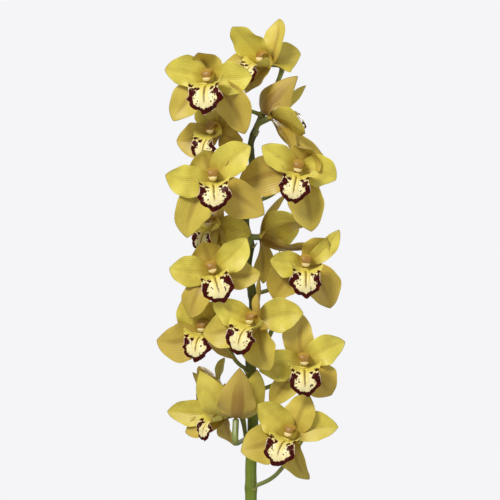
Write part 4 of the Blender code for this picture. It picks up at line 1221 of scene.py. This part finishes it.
pot = add_piece("glazed_pot", [turned(pot_outline(), 144)], glaze_material(), ["pot"])
cutters = []
for index in range(DRAIN_HOLES):
    turn = 2 * np.pi * (index + 0.25) / DRAIN_HOLES
    bar = [(0.3, 20.0), (DRAIN_HOLE_RADIUS, 20.0), (DRAIN_HOLE_RADIUS, -5.0), (0.3, -5.0)]
    grid, attributes = turned(bar, 32)
    grid = grid + (DRAIN_HOLE_RING * np.cos(turn), DRAIN_HOLE_RING * np.sin(turn), 0.0)
    cutter = add_piece(f"drain_cutter_{index + 1}", [(grid, attributes)], bark)
    cutters.append(cutter)
    hole = pot.modifiers.new("drain hole", "BOOLEAN")
    hole.operation = "DIFFERENCE"
    hole.solver = "EXACT"
    hole.object = cutter
bpy.context.view_layer.update()
cut_pot = bpy.data.meshes.new_from_object(pot.evaluated_get(bpy.context.evaluated_depsgraph_get()))
pot.modifiers.clear()
pot.data = cut_pot
while len(pot.data.materials) > 1:
    pot.data.materials.pop()
for cutter in cutters:
    bpy.data.objects.remove(cutter, do_unlink=True)
print("pot", POT_HEIGHT, "mm tall with", DRAIN_HOLES, "drain holes")

# %% [markdown]
# ## Floor, light and camera
# A soft key light stands high on the left, a weaker one fills from the right, one behind lights the edges,
# and a pale room lights the rest. Lights are given by place and size in metres and by watts. The camera
# stands far off and level with the spray, so that the upright stem shows no slant.

# %% Stage
CAMERA_HEIGHT = 0.68
CAMERA_DISTANCE = 4.0
FIELD_WIDTH = 0.5
PALE_ROOM = "#F5F5F7"
ROOM_GLOW = 0.40
FLOOR_RADIUS = 0.85
FLOOR_SOLID = 0.15
FLOOR_SIDES = 96
LIGHTS = {
    "key": ((-1.3, -2.3, 2.5), 0.9, 86.0),
    "fill": ((2.0, -2.2, 0.9), 1.6, 14.0),
    "rim": ((0.8, 2.2, 2.0), 1.2, 30.0),
}


def add_light(name, place, size, watts):
    """A square soft light that looks at the middle of the spray."""
    light = bpy.data.lights.new(name, "AREA")
    light.size = size
    light.energy = watts
    lamp = bpy.data.objects.new(name, light)
    lamp.location = place
    aim = Vector((0.0, 0.0, CAMERA_HEIGHT)) - Vector(place)
    lamp.rotation_euler = aim.to_track_quat("-Z", "Y").to_euler()
    bpy.context.scene.collection.objects.link(lamp)


def floor_material():
    """Pale paper that fades to nothing towards its edge, so only the soft shadow round the pot shows."""
    material, tree, shader = new_material("pale_paper_floor", roughness=0.9)
    place = add_node(tree, "TexCoord").outputs["Object"]
    reach = add_node(tree, "VectorMath", {0: place}, operation="LENGTH").outputs["Value"]
    fade = sloped(tree, reach, FLOOR_SOLID, FLOOR_RADIUS - 0.05, 1.0, 0.0)
    tree.links.new(fade, shader.inputs["Alpha"])
    shader.inputs["Base Color"].default_value = srgb(PALE_ROOM)
    return material


world = bpy.data.worlds.new("pale_room")
bpy.context.scene.world = world
world.use_nodes = True
background = world.node_tree.nodes["Background"]
background.inputs["Color"].default_value = srgb(PALE_ROOM)
seen = add_node(world.node_tree, "LightPath").outputs["Is Camera Ray"]
glow = sloped(world.node_tree, seen, 0.0, 1.0, ROOM_GLOW, 1.0)
world.node_tree.links.new(glow, background.inputs["Strength"])
floor_mesh = bpy.data.meshes.new("pale_floor")
corners = [(FLOOR_RADIUS * np.cos(a), FLOOR_RADIUS * np.sin(a), 0.0) for a in around(FLOOR_SIDES)[0]]
floor_mesh.from_pydata(corners, [], [tuple(range(FLOOR_SIDES))])
floor_mesh.materials.append(floor_material())
floor = bpy.data.objects.new("pale_floor", floor_mesh)
bpy.context.scene.collection.objects.link(floor)
for name, row in LIGHTS.items():
    add_light(name, *row)
camera = bpy.data.objects.new("camera", bpy.data.cameras.new("camera"))
camera.location = (0.0, -CAMERA_DISTANCE, CAMERA_HEIGHT)
camera.rotation_euler = (np.pi / 2, 0.0, 0.0)
camera.data.sensor_width = 36.0
camera.data.lens = camera.data.sensor_width * CAMERA_DISTANCE / FIELD_WIDTH
camera.data.clip_end = 50.0
bpy.context.scene.collection.objects.link(camera)
bpy.context.scene.camera = camera
bpy.context.scene.view_settings.view_transform = "Standard"
print("camera", CAMERA_DISTANCE, "m away, field", FIELD_WIDTH, "m wide")
